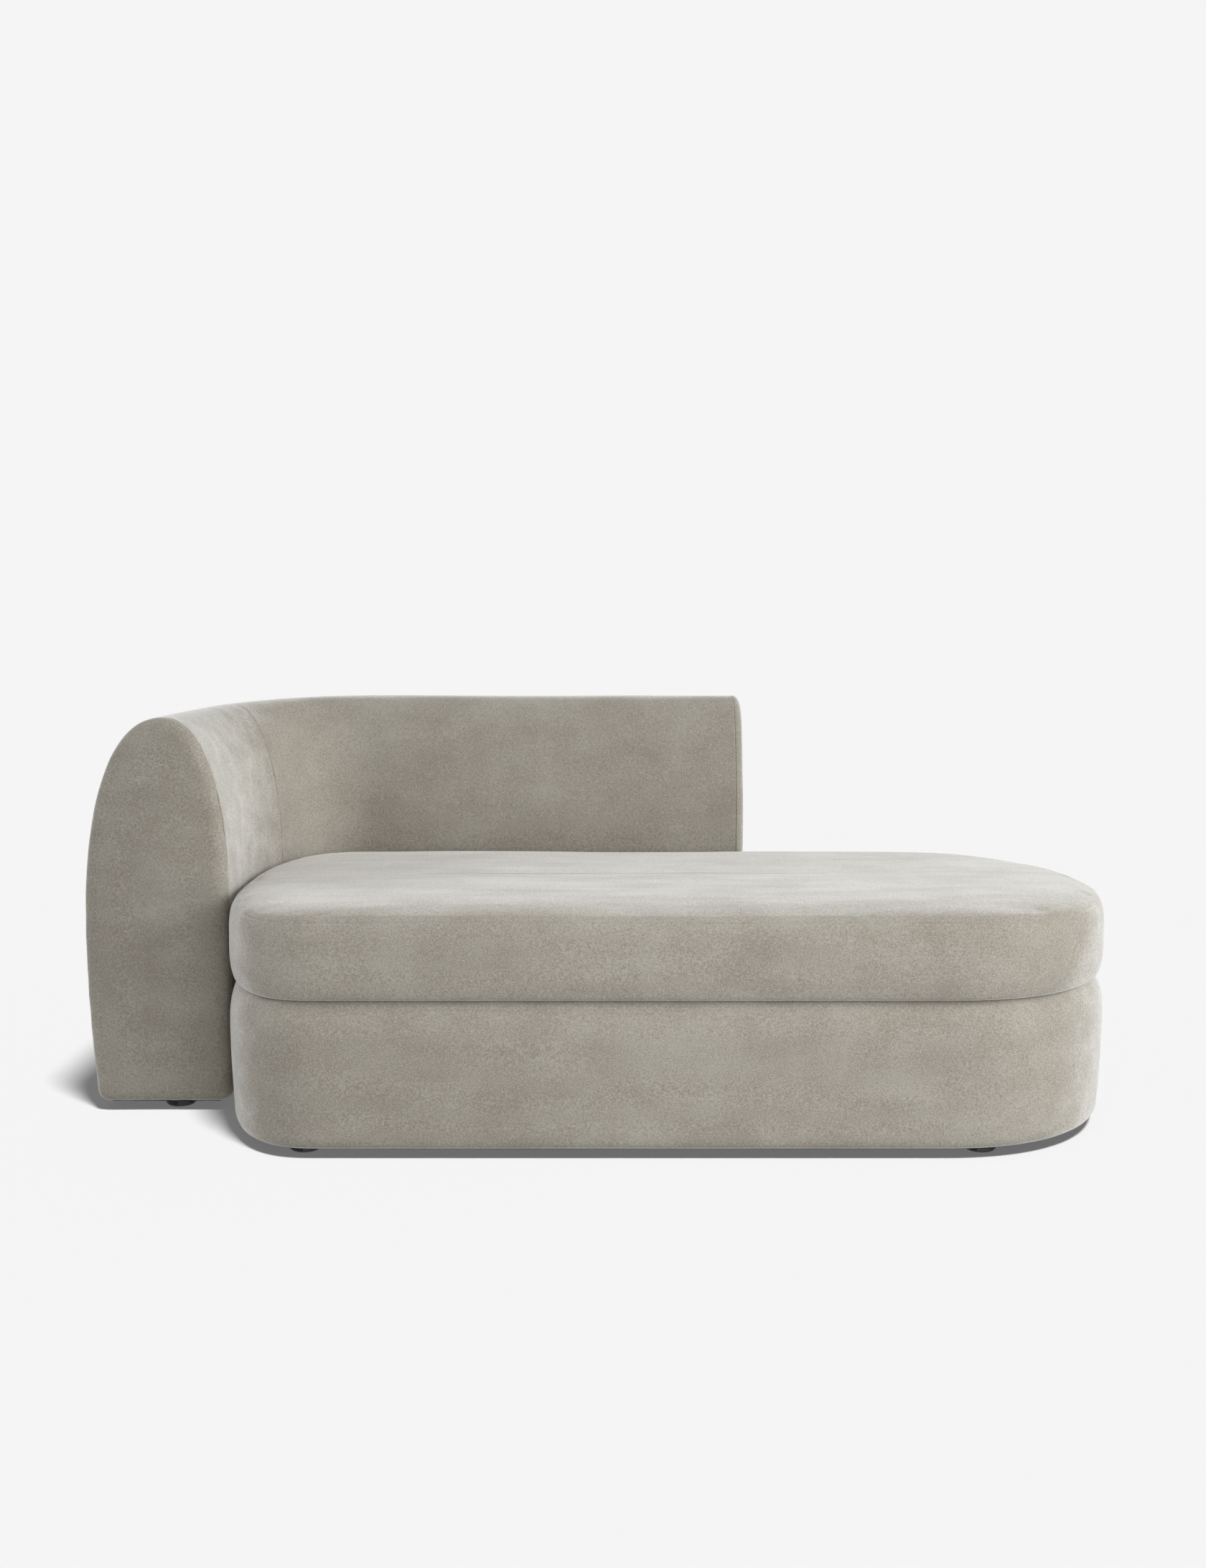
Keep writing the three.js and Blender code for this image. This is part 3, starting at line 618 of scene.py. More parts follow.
# The zip's slot: half its height, its depth, and the rounding at its lips.
ZIP_SLOT = 6 * MM
ZIP_SLOT_DEPTH = 3.2 * MM
LIP = 1.2 * MM
CUSHION_SEAM_DEPTH = 1.1 * MM
CUSHION_SETTLE = 0.7 * MM
# How much lower than its crown the cushion starts, for the simulation to fill.
START_SLACK = 4 * MM
# The last stretch of the cushion's side, over which the filling starts to lift it.
LIFT_REACH = 45 * MM
# Above the base, where the cushion starts to give, and over what height.
RESTING = {"up": 27 * MM, "over": 40 * MM}
SMOOTH_FOOT = {"up": 20 * MM, "over": 60 * MM}


def cushion_profile():
    """The cushion's side, bottom to top: rows of inset, z and the distance along the side from
    the top seam, closer together at the zip and at the seam."""
    low = CUSHION_BOTTOM + CUSHION_ROUND_HEIGHT
    high = CUSHION_EDGE - CUSHION_UPPER["height"]
    angle = np.linspace(0, np.pi / 2, 120)
    reach = 2 / CUSHION_UPPER["power"]
    inset = CUSHION_UPPER["inset"] * (1 - np.clip(np.cos(angle), 0, 1) ** reach)
    line = np.vstack([
        round_off([CUSHION_LOWER_INSET, low], [CUSHION_LOWER_INSET, CUSHION_BOTTOM], [0, low], 80),
        straight([0, low], [0, high], 10),
        np.column_stack([inset, high + CUSHION_UPPER["height"] * np.sin(angle) ** reach]),
    ])
    along = lengths_along(line)
    zip_at = np.interp(ZIP_Z, line[:, 1], along)
    upper = line[:, 1] >= high
    seam_at = np.interp(TOP_SEAM_INSET, line[upper, 0], along[upper])
    beside = np.array([0, 0.55, 1]) * ZIP_SLOT
    lips = np.concatenate([beside, beside[-1:] + [LIP, 3 * LIP]])
    zip_rows = np.concatenate([zip_at - lips[1:], zip_at + lips])
    seam_rows = seam_at + ACROSS_SEAM
    coarse = np.linspace(0, along[-1], 26)
    coarse = coarse[np.abs(coarse - zip_at) > 4.5 * LIP + ZIP_SLOT]
    coarse = coarse[np.abs(coarse - seam_at) > SEAM_ROOM + 1 * MM]
    at = np.sort(np.concatenate([zip_rows, seam_rows, coarse]))
    return np.column_stack([resample(line, at, along), at - seam_at])


def cushion_rings():
    """Rings of share towards the core, inset, z and distance from the top seam, from the middle
    of the underside to the middle of the top."""
    far = 1.0
    # Closest together at the edge: half of the smooth step, stretched to run from 0 to 1.
    shares = smoothstep(np.linspace(0, 1, 34)[1:] * 0.5) * 2
    under = [(share, CUSHION_LOWER_INSET, CUSHION_BOTTOM, far) for share in shares[::-1]]
    side = [(0, *row) for row in cushion_profile()]
    top = [(share, CUSHION_UPPER["inset"], CUSHION_EDGE, far) for share in shares]
    return under + side + top


def filled_share(points):
    """How much of the filling's lift each point takes: none below the seam, all well inside."""
    near_top = smoothstep((points[:, 2] - CUSHION_EDGE + LIFT_REACH) / LIFT_REACH)
    inset = np.clip(seat_inset(points) - TOP_SEAM_INSET, 0, None)
    return near_top * (1 - np.exp(-inset / CROWN["reach"]))


def cushion():
    """The bench cushion: filled by cloth simulation, then sewn."""
    stations = seat_outline(OUTLINE_SPACING)
    rings = cushion_rings()
    rows = []
    for share, inset, z, _ in rings:
        edge = stations[:, :2] - inset * stations[:, 2:4]
        ring = edge + (plan_core(edge) - edge) * share
        rows.append(np.column_stack([ring, np.full(len(ring), z)]))
    points = np.vstack(rows)
    back = smoothstep((points[:, 1] - cushion_low.y) / (2 * HALF_DEPTH))
    crown = CROWN["height"] * (1 - CROWN["rear_loss"] * back)
    points[:, 2] += filled_share(points) * (crown - START_SLACK)
    faces = facing_out(points, grid_faces(len(rows), len(stations), closed_columns=True))
    piece = new_piece("cushion_velvet", points, faces)
    from_seam = piece.data.attributes.new("from_seam", "FLOAT", "POINT")
    from_seam.data.foreach_set("value", np.repeat([ring[3] for ring in rings], len(stations)))
    tidy_mesh(piece)
    inflate(piece)
    sew_cushion(piece)
    return piece


PRESSURE = 4
LAST_FRAME = 20
# The most that the simulation may lift or spread a point.
RISE_CAP = 5 * MM
SPREAD_CAP = 1.1 * MM


def inflate(piece):
    """Fills the cushion by cloth simulation. It may rise, but hardly spread, because the back,
    the arm and the base hold it in."""
    before = points_of(piece.data)
    cloth = piece.modifiers.new("Cloth", "CLOTH")
    cloth.settings.use_pressure = True
    cloth.settings.uniform_pressure_force = PRESSURE
    cloth.settings.effector_weights.gravity = 0
    cloth.settings.quality = 4
    cloth.point_cache.frame_start = 1
    cloth.point_cache.frame_end = LAST_FRAME
    for number in range(1, LAST_FRAME + 1):
        scene.frame_set(number)
    filled = piece.evaluated_get(bpy.context.evaluated_depsgraph_get())
    moved = points_of(filled.data) - before
    piece.modifiers.remove(cloth)
    scene.frame_set(1)
    spread = moved[:, :2]
    size = np.linalg.norm(spread, axis=1, keepdims=True).clip(1e-9)
    moved[:, :2] = spread / size * SPREAD_CAP * np.tanh(size / SPREAD_CAP)
    moved[:, 2] = RISE_CAP * np.tanh(moved[:, 2] / RISE_CAP) * filled_share(before)
    off_base = smoothstep((before[:, 2] - CUSHION_BOTTOM - RESTING["up"]) / RESTING["over"])
    set_points(piece, before + moved * off_base[:, None])


def seat_inset(points):
    """How far inside the seat's outline each point is, in plan."""
    x, y = points[:, 0], np.abs(points[:, 1] - SEAT_Y)
    depth = HALF_DEPTH - y
    for end in (LEFT_END, RIGHT_END):
        along = np.clip((x - end["centre"]) * end["side"] / end["length"], 0, None)
        across = y / HALF_DEPTH
        radius = (along ** end["power"] + across ** end["power"]) ** (1 / end["power"])
        beyond = np.hypot(x - end["centre"], y)
        inset = beyond / radius.clip(1e-6) - beyond
        depth = np.where(along > 0, inset, depth)
    return depth


def sew_cushion(piece):
    """Rests the cushion on the base, and adds its seams, its zip's slot and its unevenness."""
    points = points_of(piece.data)
    points[:, 2] = np.maximum(points[:, 2], CUSHION_BOTTOM)
    set_points(piece, points)
    from_seam = np.empty(len(points))
    piece.data.attributes["from_seam"].data.foreach_get("value", from_seam)
    relief = seam_relief(from_seam, points, seed=31, depth=CUSHION_SEAM_DEPTH)
    above_base = points[:, 2] - CUSHION_BOTTOM - SMOOTH_FOOT["up"]
    uneven = smoothstep(above_base / SMOOTH_FOOT["over"])
    relief += settle(points, seed=33, amount=CUSHION_SETTLE) * uneven
    beside_shell = (points[:, 1] > SEAT_Y) & (points[:, 2] < CUSHION_TOP - 10 * MM)
    relief = np.where(beside_shell, np.minimum(relief, SEAT_LIMIT), relief)
    push_out(piece, relief)
    cut_zip_slot(piece)


def cut_zip_slot(piece):
    points = points_of(piece.data)
    beside = np.abs(points[:, 2] - ZIP_Z)
    in_slot = (
        (points[:, 1] > SEAT_Y + HALF_DEPTH / 2)
        & (beside < ZIP_SLOT + 0.2 * MM)
        & (points[:, 0] > ZIP_BOX[0].x)
        & (points[:, 0] < ZIP_BOX[1].x)
    )
    points[in_slot, 1] -= ZIP_SLOT_DEPTH
    set_points(piece, points)


# ---- Zip ----

TAPE = {"depth": 1.6 * MM, "thickness": 0.7 * MM, "pitch": 8 * MM}
TOOTH = {
    "pitch": 2.4 * MM,
    "length": 2.72 * MM,
    "width": 0.8 * MM,
    "height": 0.9 * MM,
    "depth": 1.1 * MM,
}


def zip_surface(z):
    """How far back the cushion's rear face stands at a height beside the zip."""
    below = (CUSHION_BOTTOM + CUSHION_ROUND_HEIGHT - z) / CUSHION_ROUND_HEIGHT
    inset = CUSHION_LOWER_INSET * (1 - np.sqrt(1 - below**2))
    return cushion_high.y - inset


def zip_tape():
    """The zip's two tapes, as one strip in the slot."""
    x = np.arange(ZIP_BOX[0].x, ZIP_BOX[1].x, TAPE["pitch"])
    z = np.linspace(ZIP_BOX[0].z, ZIP_BOX[1].z, 9)
    grid_x, grid_z = np.meshgrid(x, z, indexing="ij")
    grid_y = zip_surface(grid_z) - TAPE["depth"]
    points = np.stack([grid_x, grid_y, grid_z], axis=-1).reshape(-1, 3)
    piece = new_piece("zip_tapes", points, grid_faces(len(x), len(z)))
    turn_faces(piece, np.array([0, 1, 0]))
    thicken(piece, TAPE["thickness"])
    return piece


def zip_chain():
    """The zip's teeth, from its two tapes in turn."""
    half_width, half_height = TOOTH["width"] / 2, TOOTH["height"] / 2
    profile = [
        (-half_width, -half_height), (half_width, -half_height),
        (0.7 * half_width, half_height), (-0.7 * half_width, half_height),
    ]
    points, faces = [], []
    count = int((ZIP_BOX[1].x - ZIP_BOX[0].x) / TOOTH["pitch"] * 2) - 2
    for i in range(count):
        x = ZIP_BOX[0].x + (i + 1) * TOOTH["pitch"] / 2
        side = 1 if i % 2 else -1
        start = len(points)
        # The tooth's root, middle, swollen head and tip.
        for reach, swell in ((1, 1), (0, 1), (-0.35, 1.35), (-0.5, 0.8)):
            z = ZIP_Z + side * reach * TOOTH["length"]
            y = zip_surface(z) - TOOTH["depth"]
            points += [(x + across * swell, y + up * swell, z) for across, up in profile]
        for ring in range(3):
            near, far = start + 4 * ring, start + 4 * ring + 4
            for k in range(4):
                faces.append([near + k, near + (k + 1) % 4, far + (k + 1) % 4, far + k])
        faces += [[start + 3, start + 2, start + 1, start], [start + k for k in (12, 13, 14, 15)]]
    piece = new_piece("zip_teeth", points, faces)
    tidy_mesh(piece, 1e-6)
    return piece


# ---- Materials ----


def feed(tree, value, socket):
    """Gives a socket a number, a colour or another node's output."""
    if isinstance(value, bpy.types.NodeSocket):
        tree.links.new(value, socket)
    else:
        socket.default_value = value


def add_math(tree, operation, *values):
    node = tree.nodes.new("ShaderNodeMath")
    node.operation = operation
    for value, socket in zip(values, node.inputs):
        feed(tree, value, socket)
    return node.outputs[0]


# How strongly the nap's noise shifts the painted sheen, and between which shares of grazing view
# the painted sheen comes to show in the base colour.
PAINTED_SHEEN_JITTER = 0.16
PAINTED_SHEEN_RANGE = (0.5, 1.05)


class Recipe:
    """A material's nodes, with short ways to add the ones used here."""

    def __init__(self, name):
        self.material = bpy.data.materials.new(name)
        self.material.use_nodes = True
        self.tree = self.material.node_tree
        self.shader = self.tree.nodes["Principled BSDF"]
        self.coordinates = self.tree.nodes.new("ShaderNodeTexCoord").outputs["Object"]

    def link(self, value, socket):
        feed(self.tree, value, socket)

    def set(self, **values):
        for name, value in values.items():
            self.link(value, self.shader.inputs[name.replace("_", " ")])
        return self

    def noise(self, size, detail=2, stretch=(1, 1, 1)):
        """Noise with features about `size` metres wide, longer where `stretch` is above 1."""
        mapping = self.tree.nodes.new("ShaderNodeMapping")
        self.link(self.coordinates, mapping.inputs["Vector"])
        mapping.inputs["Scale"].default_value = [1 / (size * s) for s in stretch]
        texture = self.tree.nodes.new("ShaderNodeTexNoise")
        self.link(mapping.outputs["Vector"], texture.inputs["Vector"])
        texture.inputs["Scale"].default_value = 1
        texture.inputs["Detail"].default_value = detail
        return texture.outputs["Factor" if "Factor" in texture.outputs else "Fac"]

    def waves(self, pitch, axis):
        """A smooth wave from 0 to 1 along one axis."""
        split = self.tree.nodes.new("ShaderNodeSeparateXYZ")
        self.link(self.coordinates, split.inputs[0])
        turns = self.math("MULTIPLY", split.outputs[axis], 2 * math.pi / pitch)
        return self.math("MULTIPLY_ADD", self.math("SINE", turns, 0), 0.5, 0.5)

    def math(self, operation, *values):
        return add_math(self.tree, operation, *values)

    def spread(self, value, low, high):
        """`value` from `low` to `high`, stretched to run from 0 to 1."""
        node = self.tree.nodes.new("ShaderNodeMapRange")
        node.interpolation_type = "SMOOTHSTEP"
        self.link(value, node.inputs["Value"])
        node.inputs["From Min"].default_value = low
        node.inputs["From Max"].default_value = high
        return node.outputs["Result"]

    def mix(self, share, first, second):
        node = self.tree.nodes.new("ShaderNodeMix")
        node.data_type = "RGBA"
        factor, a, b = node.inputs[0], node.inputs[6], node.inputs[7]
        self.link(share, factor)
        self.link(first, a)
        self.link(second, b)
        return node.outputs[2]

    def sheen(self, amount, sheen_jitter):
        """How much painted sheen lightens the base colour: none where the cloth faces the eye, more
        towards grazing view, with its edge made ragged by the second argument, a noise about 0.5."""
        weight = self.tree.nodes.new("ShaderNodeLayerWeight")
        weight.inputs["Blend"].default_value = 0.5
        leaning = self.math("MULTIPLY_ADD", sheen_jitter, PAINTED_SHEEN_JITTER, weight.outputs["Facing"])
        return self.math("MULTIPLY", self.spread(leaning, *PAINTED_SHEEN_RANGE), amount)

    def blend(self, *layers):
        """The sum of (value, weight) layers, each counted from its middle, about 0.5."""
        total = 0.5
        for value, weight in layers:
            centred = self.math("SUBTRACT", value, 0.5)
            total = self.math("MULTIPLY_ADD", centred, weight, total)
        return total

    def bump(self, height, distance, strength=1.0, base=None):
        node = self.tree.nodes.new("ShaderNodeBump")
        node.inputs["Strength"].default_value = strength
        node.inputs["Distance"].default_value = distance
        self.link(height, node.inputs["Height"])
        if base is not None:
            self.link(base, node.inputs["Normal"])
        return node.outputs["Normal"]


def grey(level, warmth=0.0):
    return (level * (1 + warmth), level, level * (1 - warmth), 1)


VELVET_DARK = (0.262, 0.237, 0.198, 1)
VELVET_LIGHT = (0.392, 0.372, 0.322, 1)
# Painted sheen: the pale colours that the velvet's base colour turns to towards grazing view.
PAINTED_SHEEN_DARK = (0.45, 0.435, 0.402, 1)
PAINTED_SHEEN_LIGHT = (0.68, 0.67, 0.636, 1)


def velvet():
    """Short greige pile: fine grain, clumps of fibres, and cloudy patches where the nap lies, with
    painted sheen that lightens its base colour towards grazing view.
    """
    recipe = Recipe("velvet")
    grain = recipe.noise(2.6 * MM, 4)
    clumps = recipe.noise(7 * MM, 3)
    clouds = recipe.noise(80 * MM, 4)
    patches = recipe.noise(260 * MM, 2)
    brushed = recipe.noise(60 * MM, 3, stretch=(3.2, 0.8, 0.8))
    nap = recipe.blend((grain, 3.2), (clumps, 0.6), (clouds, 0.8), (patches, 0.8), (brushed, 0.6))
    pile = recipe.mix(nap, VELVET_DARK, VELVET_LIGHT)
    # Painted sheen in the base colour, paler and more neutral than the pile's own colour.
    sheen_colour = recipe.mix(nap, PAINTED_SHEEN_DARK, PAINTED_SHEEN_LIGHT)
    sheen_jitter = recipe.blend((brushed, 2.0), (clumps, 1.2), (grain, 1.2))
    # The base colour turns from the pile's own colour to painted sheen as the view grazes the cloth.
    color = recipe.mix(recipe.sheen(0.92, sheen_jitter), pile, sheen_colour)
    fibres = recipe.bump(grain, 0.5 * MM, 0.35)
    recipe.set(
        Base_Color=color,
        Roughness=0.92,
        Normal=recipe.bump(clumps, 0.6 * MM, 0.25, fibres),
        Specular_IOR_Level=0.12,
        Sheen_Weight=0.45,
        Sheen_Roughness=0.45,
        Sheen_Tint=(1, 0.985, 0.96, 1),
    )
    return recipe.material


def lining():
    """Thin dark cloth, spun rather than woven."""
    recipe = Recipe("lining")
    threads = recipe.noise(1.2 * MM, 3, stretch=(1, 3, 1))
    flecks = recipe.noise(3 * MM, 4)
    patches = recipe.noise(90 * MM, 2)
    tone = recipe.blend((threads, 0.8), (flecks, 0.7), (patches, 0.5))
    recipe.set(
        Base_Color=recipe.mix(tone, grey(0.006), grey(0.035, 0.02)),
        Roughness=recipe.math("MULTIPLY_ADD", flecks, 0.2, 0.75),
        Normal=recipe.bump(threads, 0.3 * MM, 0.5),
        Specular_IOR_Level=0.25,
    )
    return recipe.material


def plywood():
    """Birch plywood, with long figure and dark glue lines."""
    recipe = Recipe("plywood")
    figure = recipe.noise(14 * MM, 5, stretch=(7, 7, 1))
    pores = recipe.noise(1.4 * MM, 2, stretch=(8, 8, 1))
    tone = recipe.blend((figure, 1.5), (pores, 0.5))
    recipe.set(
        Base_Color=recipe.mix(tone, (0.42, 0.27, 0.14, 1), (0.68, 0.5, 0.3, 1)),
        Roughness=recipe.math("MULTIPLY_ADD", pores, 0.25, 0.5),
        Normal=recipe.bump(pores, 0.2 * MM, 0.4),
    )
    return recipe.material


def hardboard():
    """Pressed brown fibre."""
    recipe = Recipe("hardboard")
    fibres = recipe.noise(2.5 * MM, 5)
    patches = recipe.noise(60 * MM, 3)
    tone = recipe.blend((fibres, 1.3), (patches, 0.8))
    recipe.set(
        Base_Color=recipe.mix(tone, (0.12, 0.065, 0.03, 1), (0.3, 0.18, 0.1, 1)),
        Roughness=recipe.math("MULTIPLY_ADD", fibres, 0.3, 0.5),
        Normal=recipe.bump(fibres, 0.15 * MM, 0.5),
    )
    return recipe.material


def webbing():
    """Elastic strap: a close weave with paler threads along it."""
    recipe = Recipe("webbing")
    across = recipe.waves(2.2 * MM, 1)
    lengthwise = recipe.waves(1.6 * MM, 0)
    weave = recipe.math("MULTIPLY", across, lengthwise)
    stripes = recipe.spread(recipe.waves(24 * MM, 0), 0.88, 0.95)
    wear = recipe.noise(30 * MM, 3)
    tone = recipe.math("MULTIPLY_ADD", recipe.blend((weave, 0.7), (wear, 0.6)), 0.8, 0)
    thread = recipe.mix(stripes, grey(0.05, 0.03), grey(0.3, 0.05))
    recipe.set(
        Base_Color=recipe.mix(tone, grey(0.02), thread),
        Roughness=recipe.math("MULTIPLY_ADD", wear, 0.2, 0.7),
        Normal=recipe.bump(weave, 0.4 * MM, 0.7),
    )
    return recipe.material


def glide_plastic():
    """Black moulded plastic, finely textured and a little scuffed."""
    recipe = Recipe("glide_plastic")
    texture = recipe.noise(0.8 * MM, 2)
    scuffs = recipe.noise(9 * MM, 4, stretch=(3, 1, 1))
    recipe.set(
        Base_Color=recipe.mix(recipe.blend((scuffs, 1.2)), grey(0.006), grey(0.022)),
        Roughness=recipe.math("MULTIPLY_ADD", scuffs, 0.35, 0.3),
        Normal=recipe.bump(texture, 0.08 * MM, 0.4),
    )
    return recipe.material


def steel():
    """Zinc-plated steel with a faint brushed grain."""
    recipe = Recipe("steel")
    brushing = recipe.noise(0.5 * MM, 3, stretch=(1, 14, 1))
    spangle = recipe.noise(6 * MM, 2)
    tone = recipe.blend((brushing, 0.7), (spangle, 0.8))
    recipe.set(
        Base_Color=recipe.mix(tone, grey(0.4), grey(0.66)),
        Metallic=1.0,
        Roughness=recipe.math("MULTIPLY_ADD", brushing, 0.3, 0.22),
        Normal=recipe.bump(brushing, 0.05 * MM, 0.4),
    )
    return recipe.material


def zip_nylon():
    """Greige woven tape and moulded teeth."""
    recipe = Recipe("zip_nylon")
    weave = recipe.math("MULTIPLY", recipe.waves(1.1 * MM, 0), recipe.waves(0.9 * MM, 2))
    flecks = recipe.noise(1.5 * MM, 3)
    tone = recipe.blend((weave, 0.6), (flecks, 0.9))
    recipe.set(
        Base_Color=recipe.mix(tone, (0.2, 0.185, 0.16, 1), (0.42, 0.395, 0.35, 1)),
        Roughness=recipe.math("MULTIPLY_ADD", flecks, 0.3, 0.5),
        Normal=recipe.bump(weave, 0.2 * MM, 0.5),
    )
    return recipe.material


MATERIALS = {
    make.__name__: make()
    for make in (velvet, lining, plywood, hardboard, webbing, glide_plastic, steel, zip_nylon)
}


def finish_piece(piece, body, slot, *nodes):
    """Gives a new piece its material and its body, and hides the CAD nodes that it stands for."""
    piece.data.materials.clear()
    piece.data.materials.append(MATERIALS[slot])
    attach(piece, body)
    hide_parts(*nodes)
    return piece


# ---- The pieces ----

base_foams = [f"base_{run}_foam" for run in ("front", "rear", "left", "right")]
covers = [
    (shell_cover("arm_velvet", arm_path(), seed=1), ["arm_cover", "arm_foam"]),
    (shell_cover("back_velvet", back_path(), seed=11), ["back_cover", "back_foam"]),
    (
        end_panel("arm_front_velvet", arm_path()[0], -1, ARM_BULGE, seed=41),
        ["arm_front_panel", "arm_front_pad"],
    ),
    (
        end_panel("back_end_velvet", back_path()[-1], 1, BACK_BULGE, seed=51),
        ["back_end_panel", "back_end_pad"],
    ),
    (base_cover(), ["base_cover", *base_foams]),
]
for cover, cad_nodes in covers:
    finish_piece(cover, "base_and_back", "velvet", *cad_nodes)

deck_inset = BASE_BAND + DECK["tuck"]
deck = filled_outline("deck_lining", deck_inset, BASE_TOP - DECK["down"], DECK["sag"], seed=61)
thicken(deck, DECK["thickness"])
finish_piece(deck, "base_and_back", "lining", "deck_cloth", "deck_pad")

dust_inset = base_dust_low.x - cushion_low.x
dust_top = base_dust_high.z - DUST_COVER["down"]
base_lining = filled_outline("base_lining", dust_inset, dust_top, DUST_COVER["sag"], seed=63)
thicken(base_lining, DUST_COVER["thickness"])
finish_piece(base_lining, "base_and_back", "lining", "base_dust_cover")

back_dust = back_lining()
thicken(back_dust, DUST_COVER["thickness"])
finish_piece(back_dust, "base_and_back", "lining", "back_dust_cover")

cushion_velvet = cushion()
finish_piece(cushion_velvet, "bench_cushion", "velvet", "cushion_cover", "cushion_wrap", "cushion_core")

finish_piece(zip_tape(), "bench_cushion", "zip_nylon", "zip_tape")
finish_piece(zip_chain(), "bench_cushion", "zip_nylon", "zip_tape")

# The CAD nodes that show as they are, by words in their names.
CAD_SLOTS = {
    "plywood": ("rail", "bow", "rib", "block", "stretcher", "floor_plate"),
    "hardboard": ("outer_panel", "inner_panel"),
    "webbing": ("webbing",),
    "glide_plastic": ("glide",),
    "steel": ("zip_slider", "zip_pull", "joining_plate"),
}
for slot_name, words in CAD_SLOTS.items():
    for node_name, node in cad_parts.items():
        if any(word in node_name for word in words):
            node.data.materials.clear()
            node.data.materials.append(MATERIALS[slot_name])

# ---- Stage: floor, light and camera ----

BACKDROP = 0.913
DOME_RADIUS = 28
FLOOR_HALF = 30
FLOOR_DIFFUSE = 0.1
# The distances between which the floor stops taking shadows.
FLOOR_FADE = (2.5, 6)

# The studio's soft light from all round: its level, how much it grows towards the ceiling, and
# the share of that growth that the pale floor sends back up.
AMBIENT = 0.19
AMBIENT_UP = 0.30
FLOOR_BOUNCE = 0.6

# Lens and film in millimetres, then metres in front of the seat and degrees down.
LENS = {"length": 36.378, "film": 36, "shift": 0.0229}
EYE = {"x": -0.0585, "away": 2.7145, "z": 0.935, "down": 5.6}

def only_seen(piece):
    """Shows a piece of the stage to the camera without letting it light the daybed."""
    piece.visible_diffuse = False
    piece.visible_glossy = False
    piece.visible_transmission = False


def floor(floor_light):
    """A pale floor that takes only soft contact shadows. It glows by what its light lacks, and
    far away it only glows, like the backdrop."""
    corners = [(-1, -1, 0), (1, -1, 0), (1, 1, 0), (-1, 1, 0)]
    ground = new_piece("floor", np.array(corners) * FLOOR_HALF, [(0, 1, 2, 3)])
    recipe = Recipe("floor")
    distance = recipe.tree.nodes.new("ShaderNodeVectorMath")
    distance.operation = "LENGTH"
    recipe.link(recipe.coordinates, distance.inputs[0])
    far = recipe.spread(distance.outputs["Value"], *FLOOR_FADE)
    level = recipe.math("MULTIPLY_ADD", far, -FLOOR_DIFFUSE, FLOOR_DIFFUSE)
    # A level surface gets two thirds of what the sky grows by towards its top.
    from_above = AMBIENT + AMBIENT_UP * 2 / 3 + floor_light
    recipe.set(
        Base_Color=recipe.mix(far, grey(FLOOR_DIFFUSE), grey(0)),
        Specular_IOR_Level=0.0,
        Roughness=1.0,
        Emission_Color=grey(1),
        Emission_Strength=recipe.math("MULTIPLY_ADD", level, -from_above, BACKDROP),
    )
    ground.data.materials.append(recipe.material)
    only_seen(ground)
    return ground


def backdrop():
    """An even pale dome behind everything."""
    shape = bmesh.new()
    bmesh.ops.create_uvsphere(shape, u_segments=48, v_segments=24, radius=DOME_RADIUS)
    mesh = bpy.data.meshes.new("backdrop")
    shape.to_mesh(mesh)
    shape.free()
    dome = bpy.data.objects.new("backdrop", mesh)
    scene.collection.objects.link(dome)
    material = bpy.data.materials.new("backdrop")
    material.use_nodes = True
    tree = material.node_tree
    tree.nodes.clear()
    glow = tree.nodes.new("ShaderNodeEmission")
    glow.inputs["Strength"].default_value = BACKDROP
    output = tree.nodes.new("ShaderNodeOutputMaterial")
    tree.links.new(glow.outputs[0], output.inputs["Surface"])
    mesh.materials.append(material)
    dome.visible_shadow = False
    only_seen(dome)


def sky():
    """Soft light from all round, stronger from above and from the pale floor."""
    world = bpy.data.worlds.new("sky")
    world.use_nodes = True
    tree = world.node_tree
    direction = tree.nodes.new("ShaderNodeTexCoord").outputs["Generated"]
    lean = tree.nodes.new("ShaderNodeVectorMath")
    lean.operation = "DOT_PRODUCT"
    tree.links.new(direction, lean.inputs[0])
    lean.inputs[1].default_value = (0, 0, AMBIENT_UP)
    bounce = add_math(tree, "MULTIPLY", lean.outputs["Value"], -FLOOR_BOUNCE)
    steep = add_math(tree, "MAXIMUM", lean.outputs["Value"], bounce)
    level = add_math(tree, "ADD", steep, AMBIENT)
    background = tree.nodes["Background"]
    background.inputs["Color"].default_value = grey(1)
    tree.links.new(level, background.inputs["Strength"])
    scene.world = world


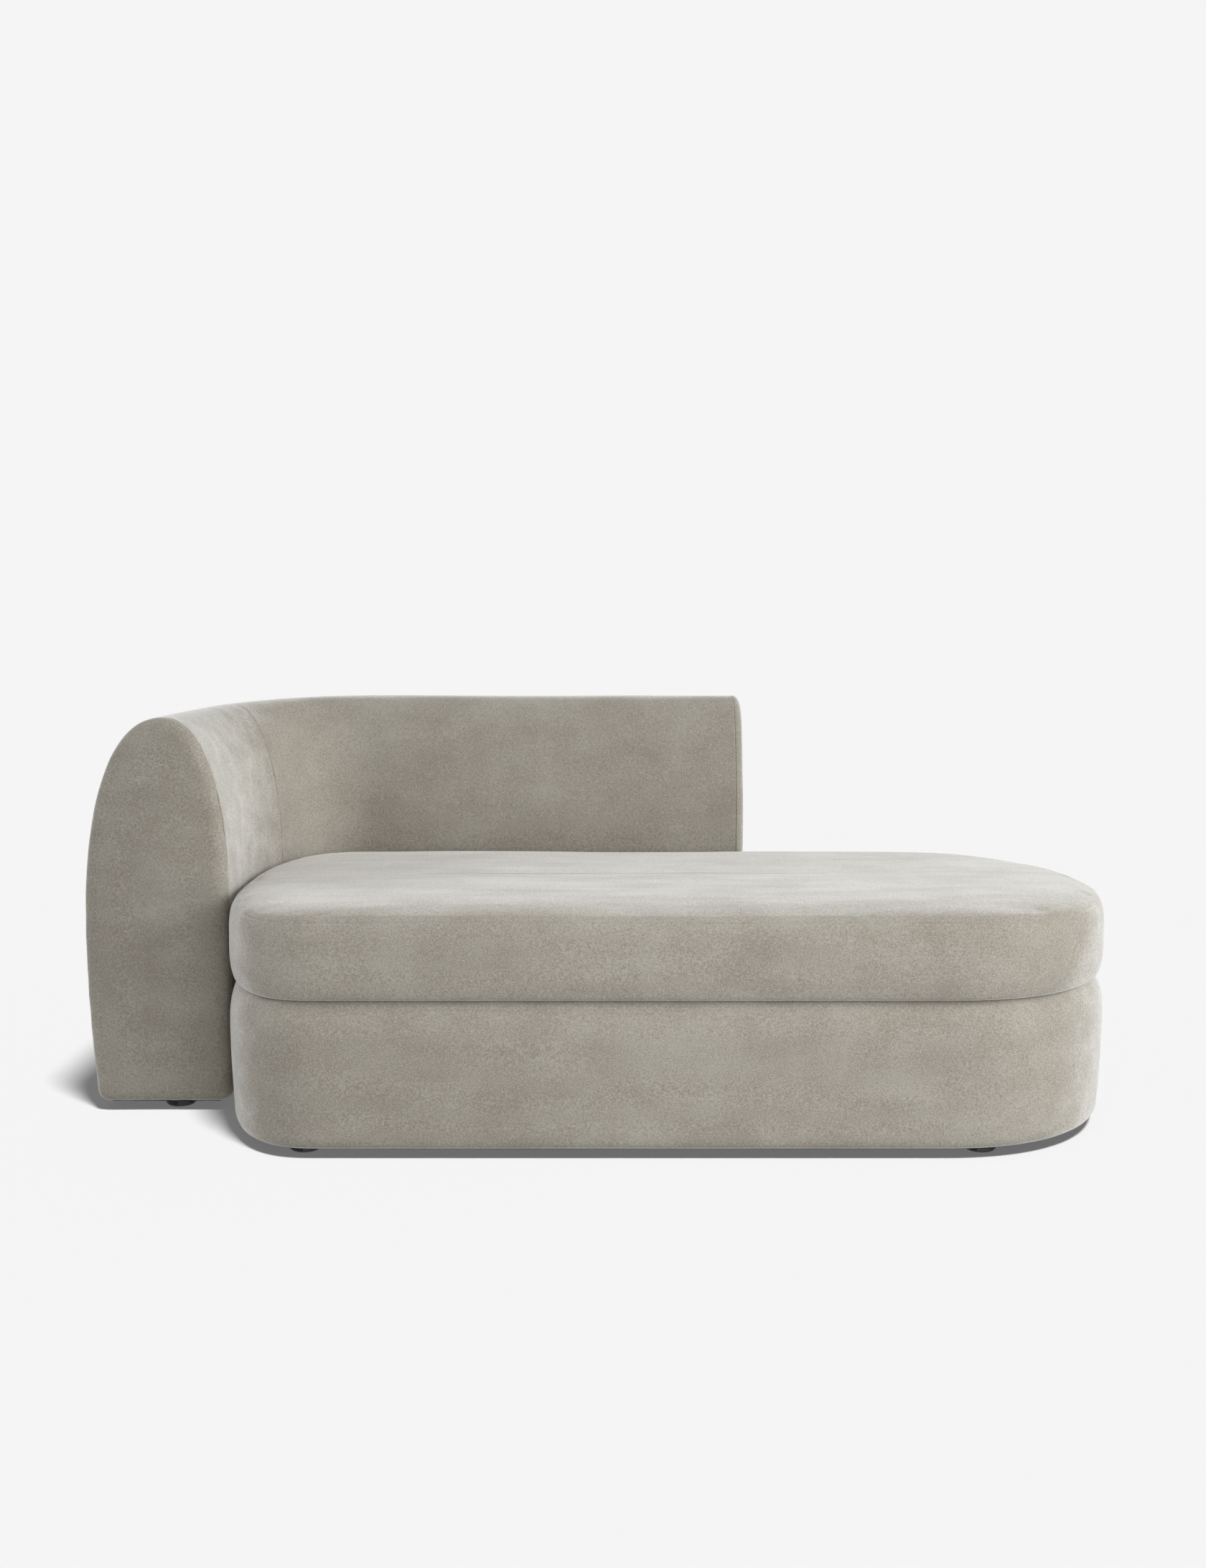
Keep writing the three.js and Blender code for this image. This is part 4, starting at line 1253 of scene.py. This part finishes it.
def sun(name, strength, azimuth, height, softness, lights_up):
    """A far, soft light. Azimuth 0 is in front of the seat and 90 to its right, in degrees.
    It lights only the objects in `lights_up`."""
    light = bpy.data.lights.new(name, "SUN")
    light.energy = strength
    light.angle = math.radians(softness)
    lamp = bpy.data.objects.new(name, light)
    lamp.rotation_euler = (math.radians(90 - height), 0, math.radians(azimuth))
    scene.collection.objects.link(lamp)
    lamp.light_linking.receiver_collection = lights_up


def panel(name, power, place, size, lights_up):
    """A square lamp at `place`, facing the middle of the daybed. It lights only `lights_up`."""
    light = bpy.data.lights.new(name, "AREA")
    light.energy = power
    light.size = size
    lamp = bpy.data.objects.new(name, light)
    lamp.location = place
    middle = (shell_low + shell_high) / 2
    lamp.rotation_euler = (middle - lamp.location).to_track_quat("-Z", "Y").to_euler()
    scene.collection.objects.link(lamp)
    lamp.light_linking.receiver_collection = lights_up


def camera():
    lens = bpy.data.cameras.new("camera")
    lens.sensor_fit = "VERTICAL"
    lens.sensor_height = LENS["film"]
    lens.lens = LENS["length"]
    lens.shift_x = LENS["shift"]
    eye = bpy.data.objects.new("camera", lens)
    eye.location = (EYE["x"], cushion_low.y - EYE["away"], EYE["z"])
    eye.rotation_euler = (math.radians(90 - EYE["down"]), 0, 0)
    scene.collection.objects.link(eye)
    scene.camera = eye


def collection_of(name, pieces):
    group = bpy.data.collections.new(name)
    for piece in pieces:
        group.objects.link(piece)
    return group


# The daybed and the floor have their own lights. The floor's only makes its soft shadows.
FLOOR_SUN = {"strength": 25.0, "azimuth": 31, "height": 66, "softness": 10}
daybed = collection_of("daybed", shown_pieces())
floor_level = FLOOR_SUN["strength"] * math.sin(math.radians(FLOOR_SUN["height"])) / math.pi
ground = floor(floor_level)
backdrop()
sky()
panel("key", power=455, place=(7.6, -1.3, 3.3), size=4.4, lights_up=daybed)
panel("fill", power=74, place=(0.9, -3.1, 0.5), size=2.2, lights_up=daybed)
sun("rim", strength=1.6, azimuth=-94, height=22, softness=50, lights_up=daybed)
sun("floor_light", **FLOOR_SUN, lights_up=collection_of("ground", [ground]))
camera()
scene.view_settings.view_transform = "Standard"
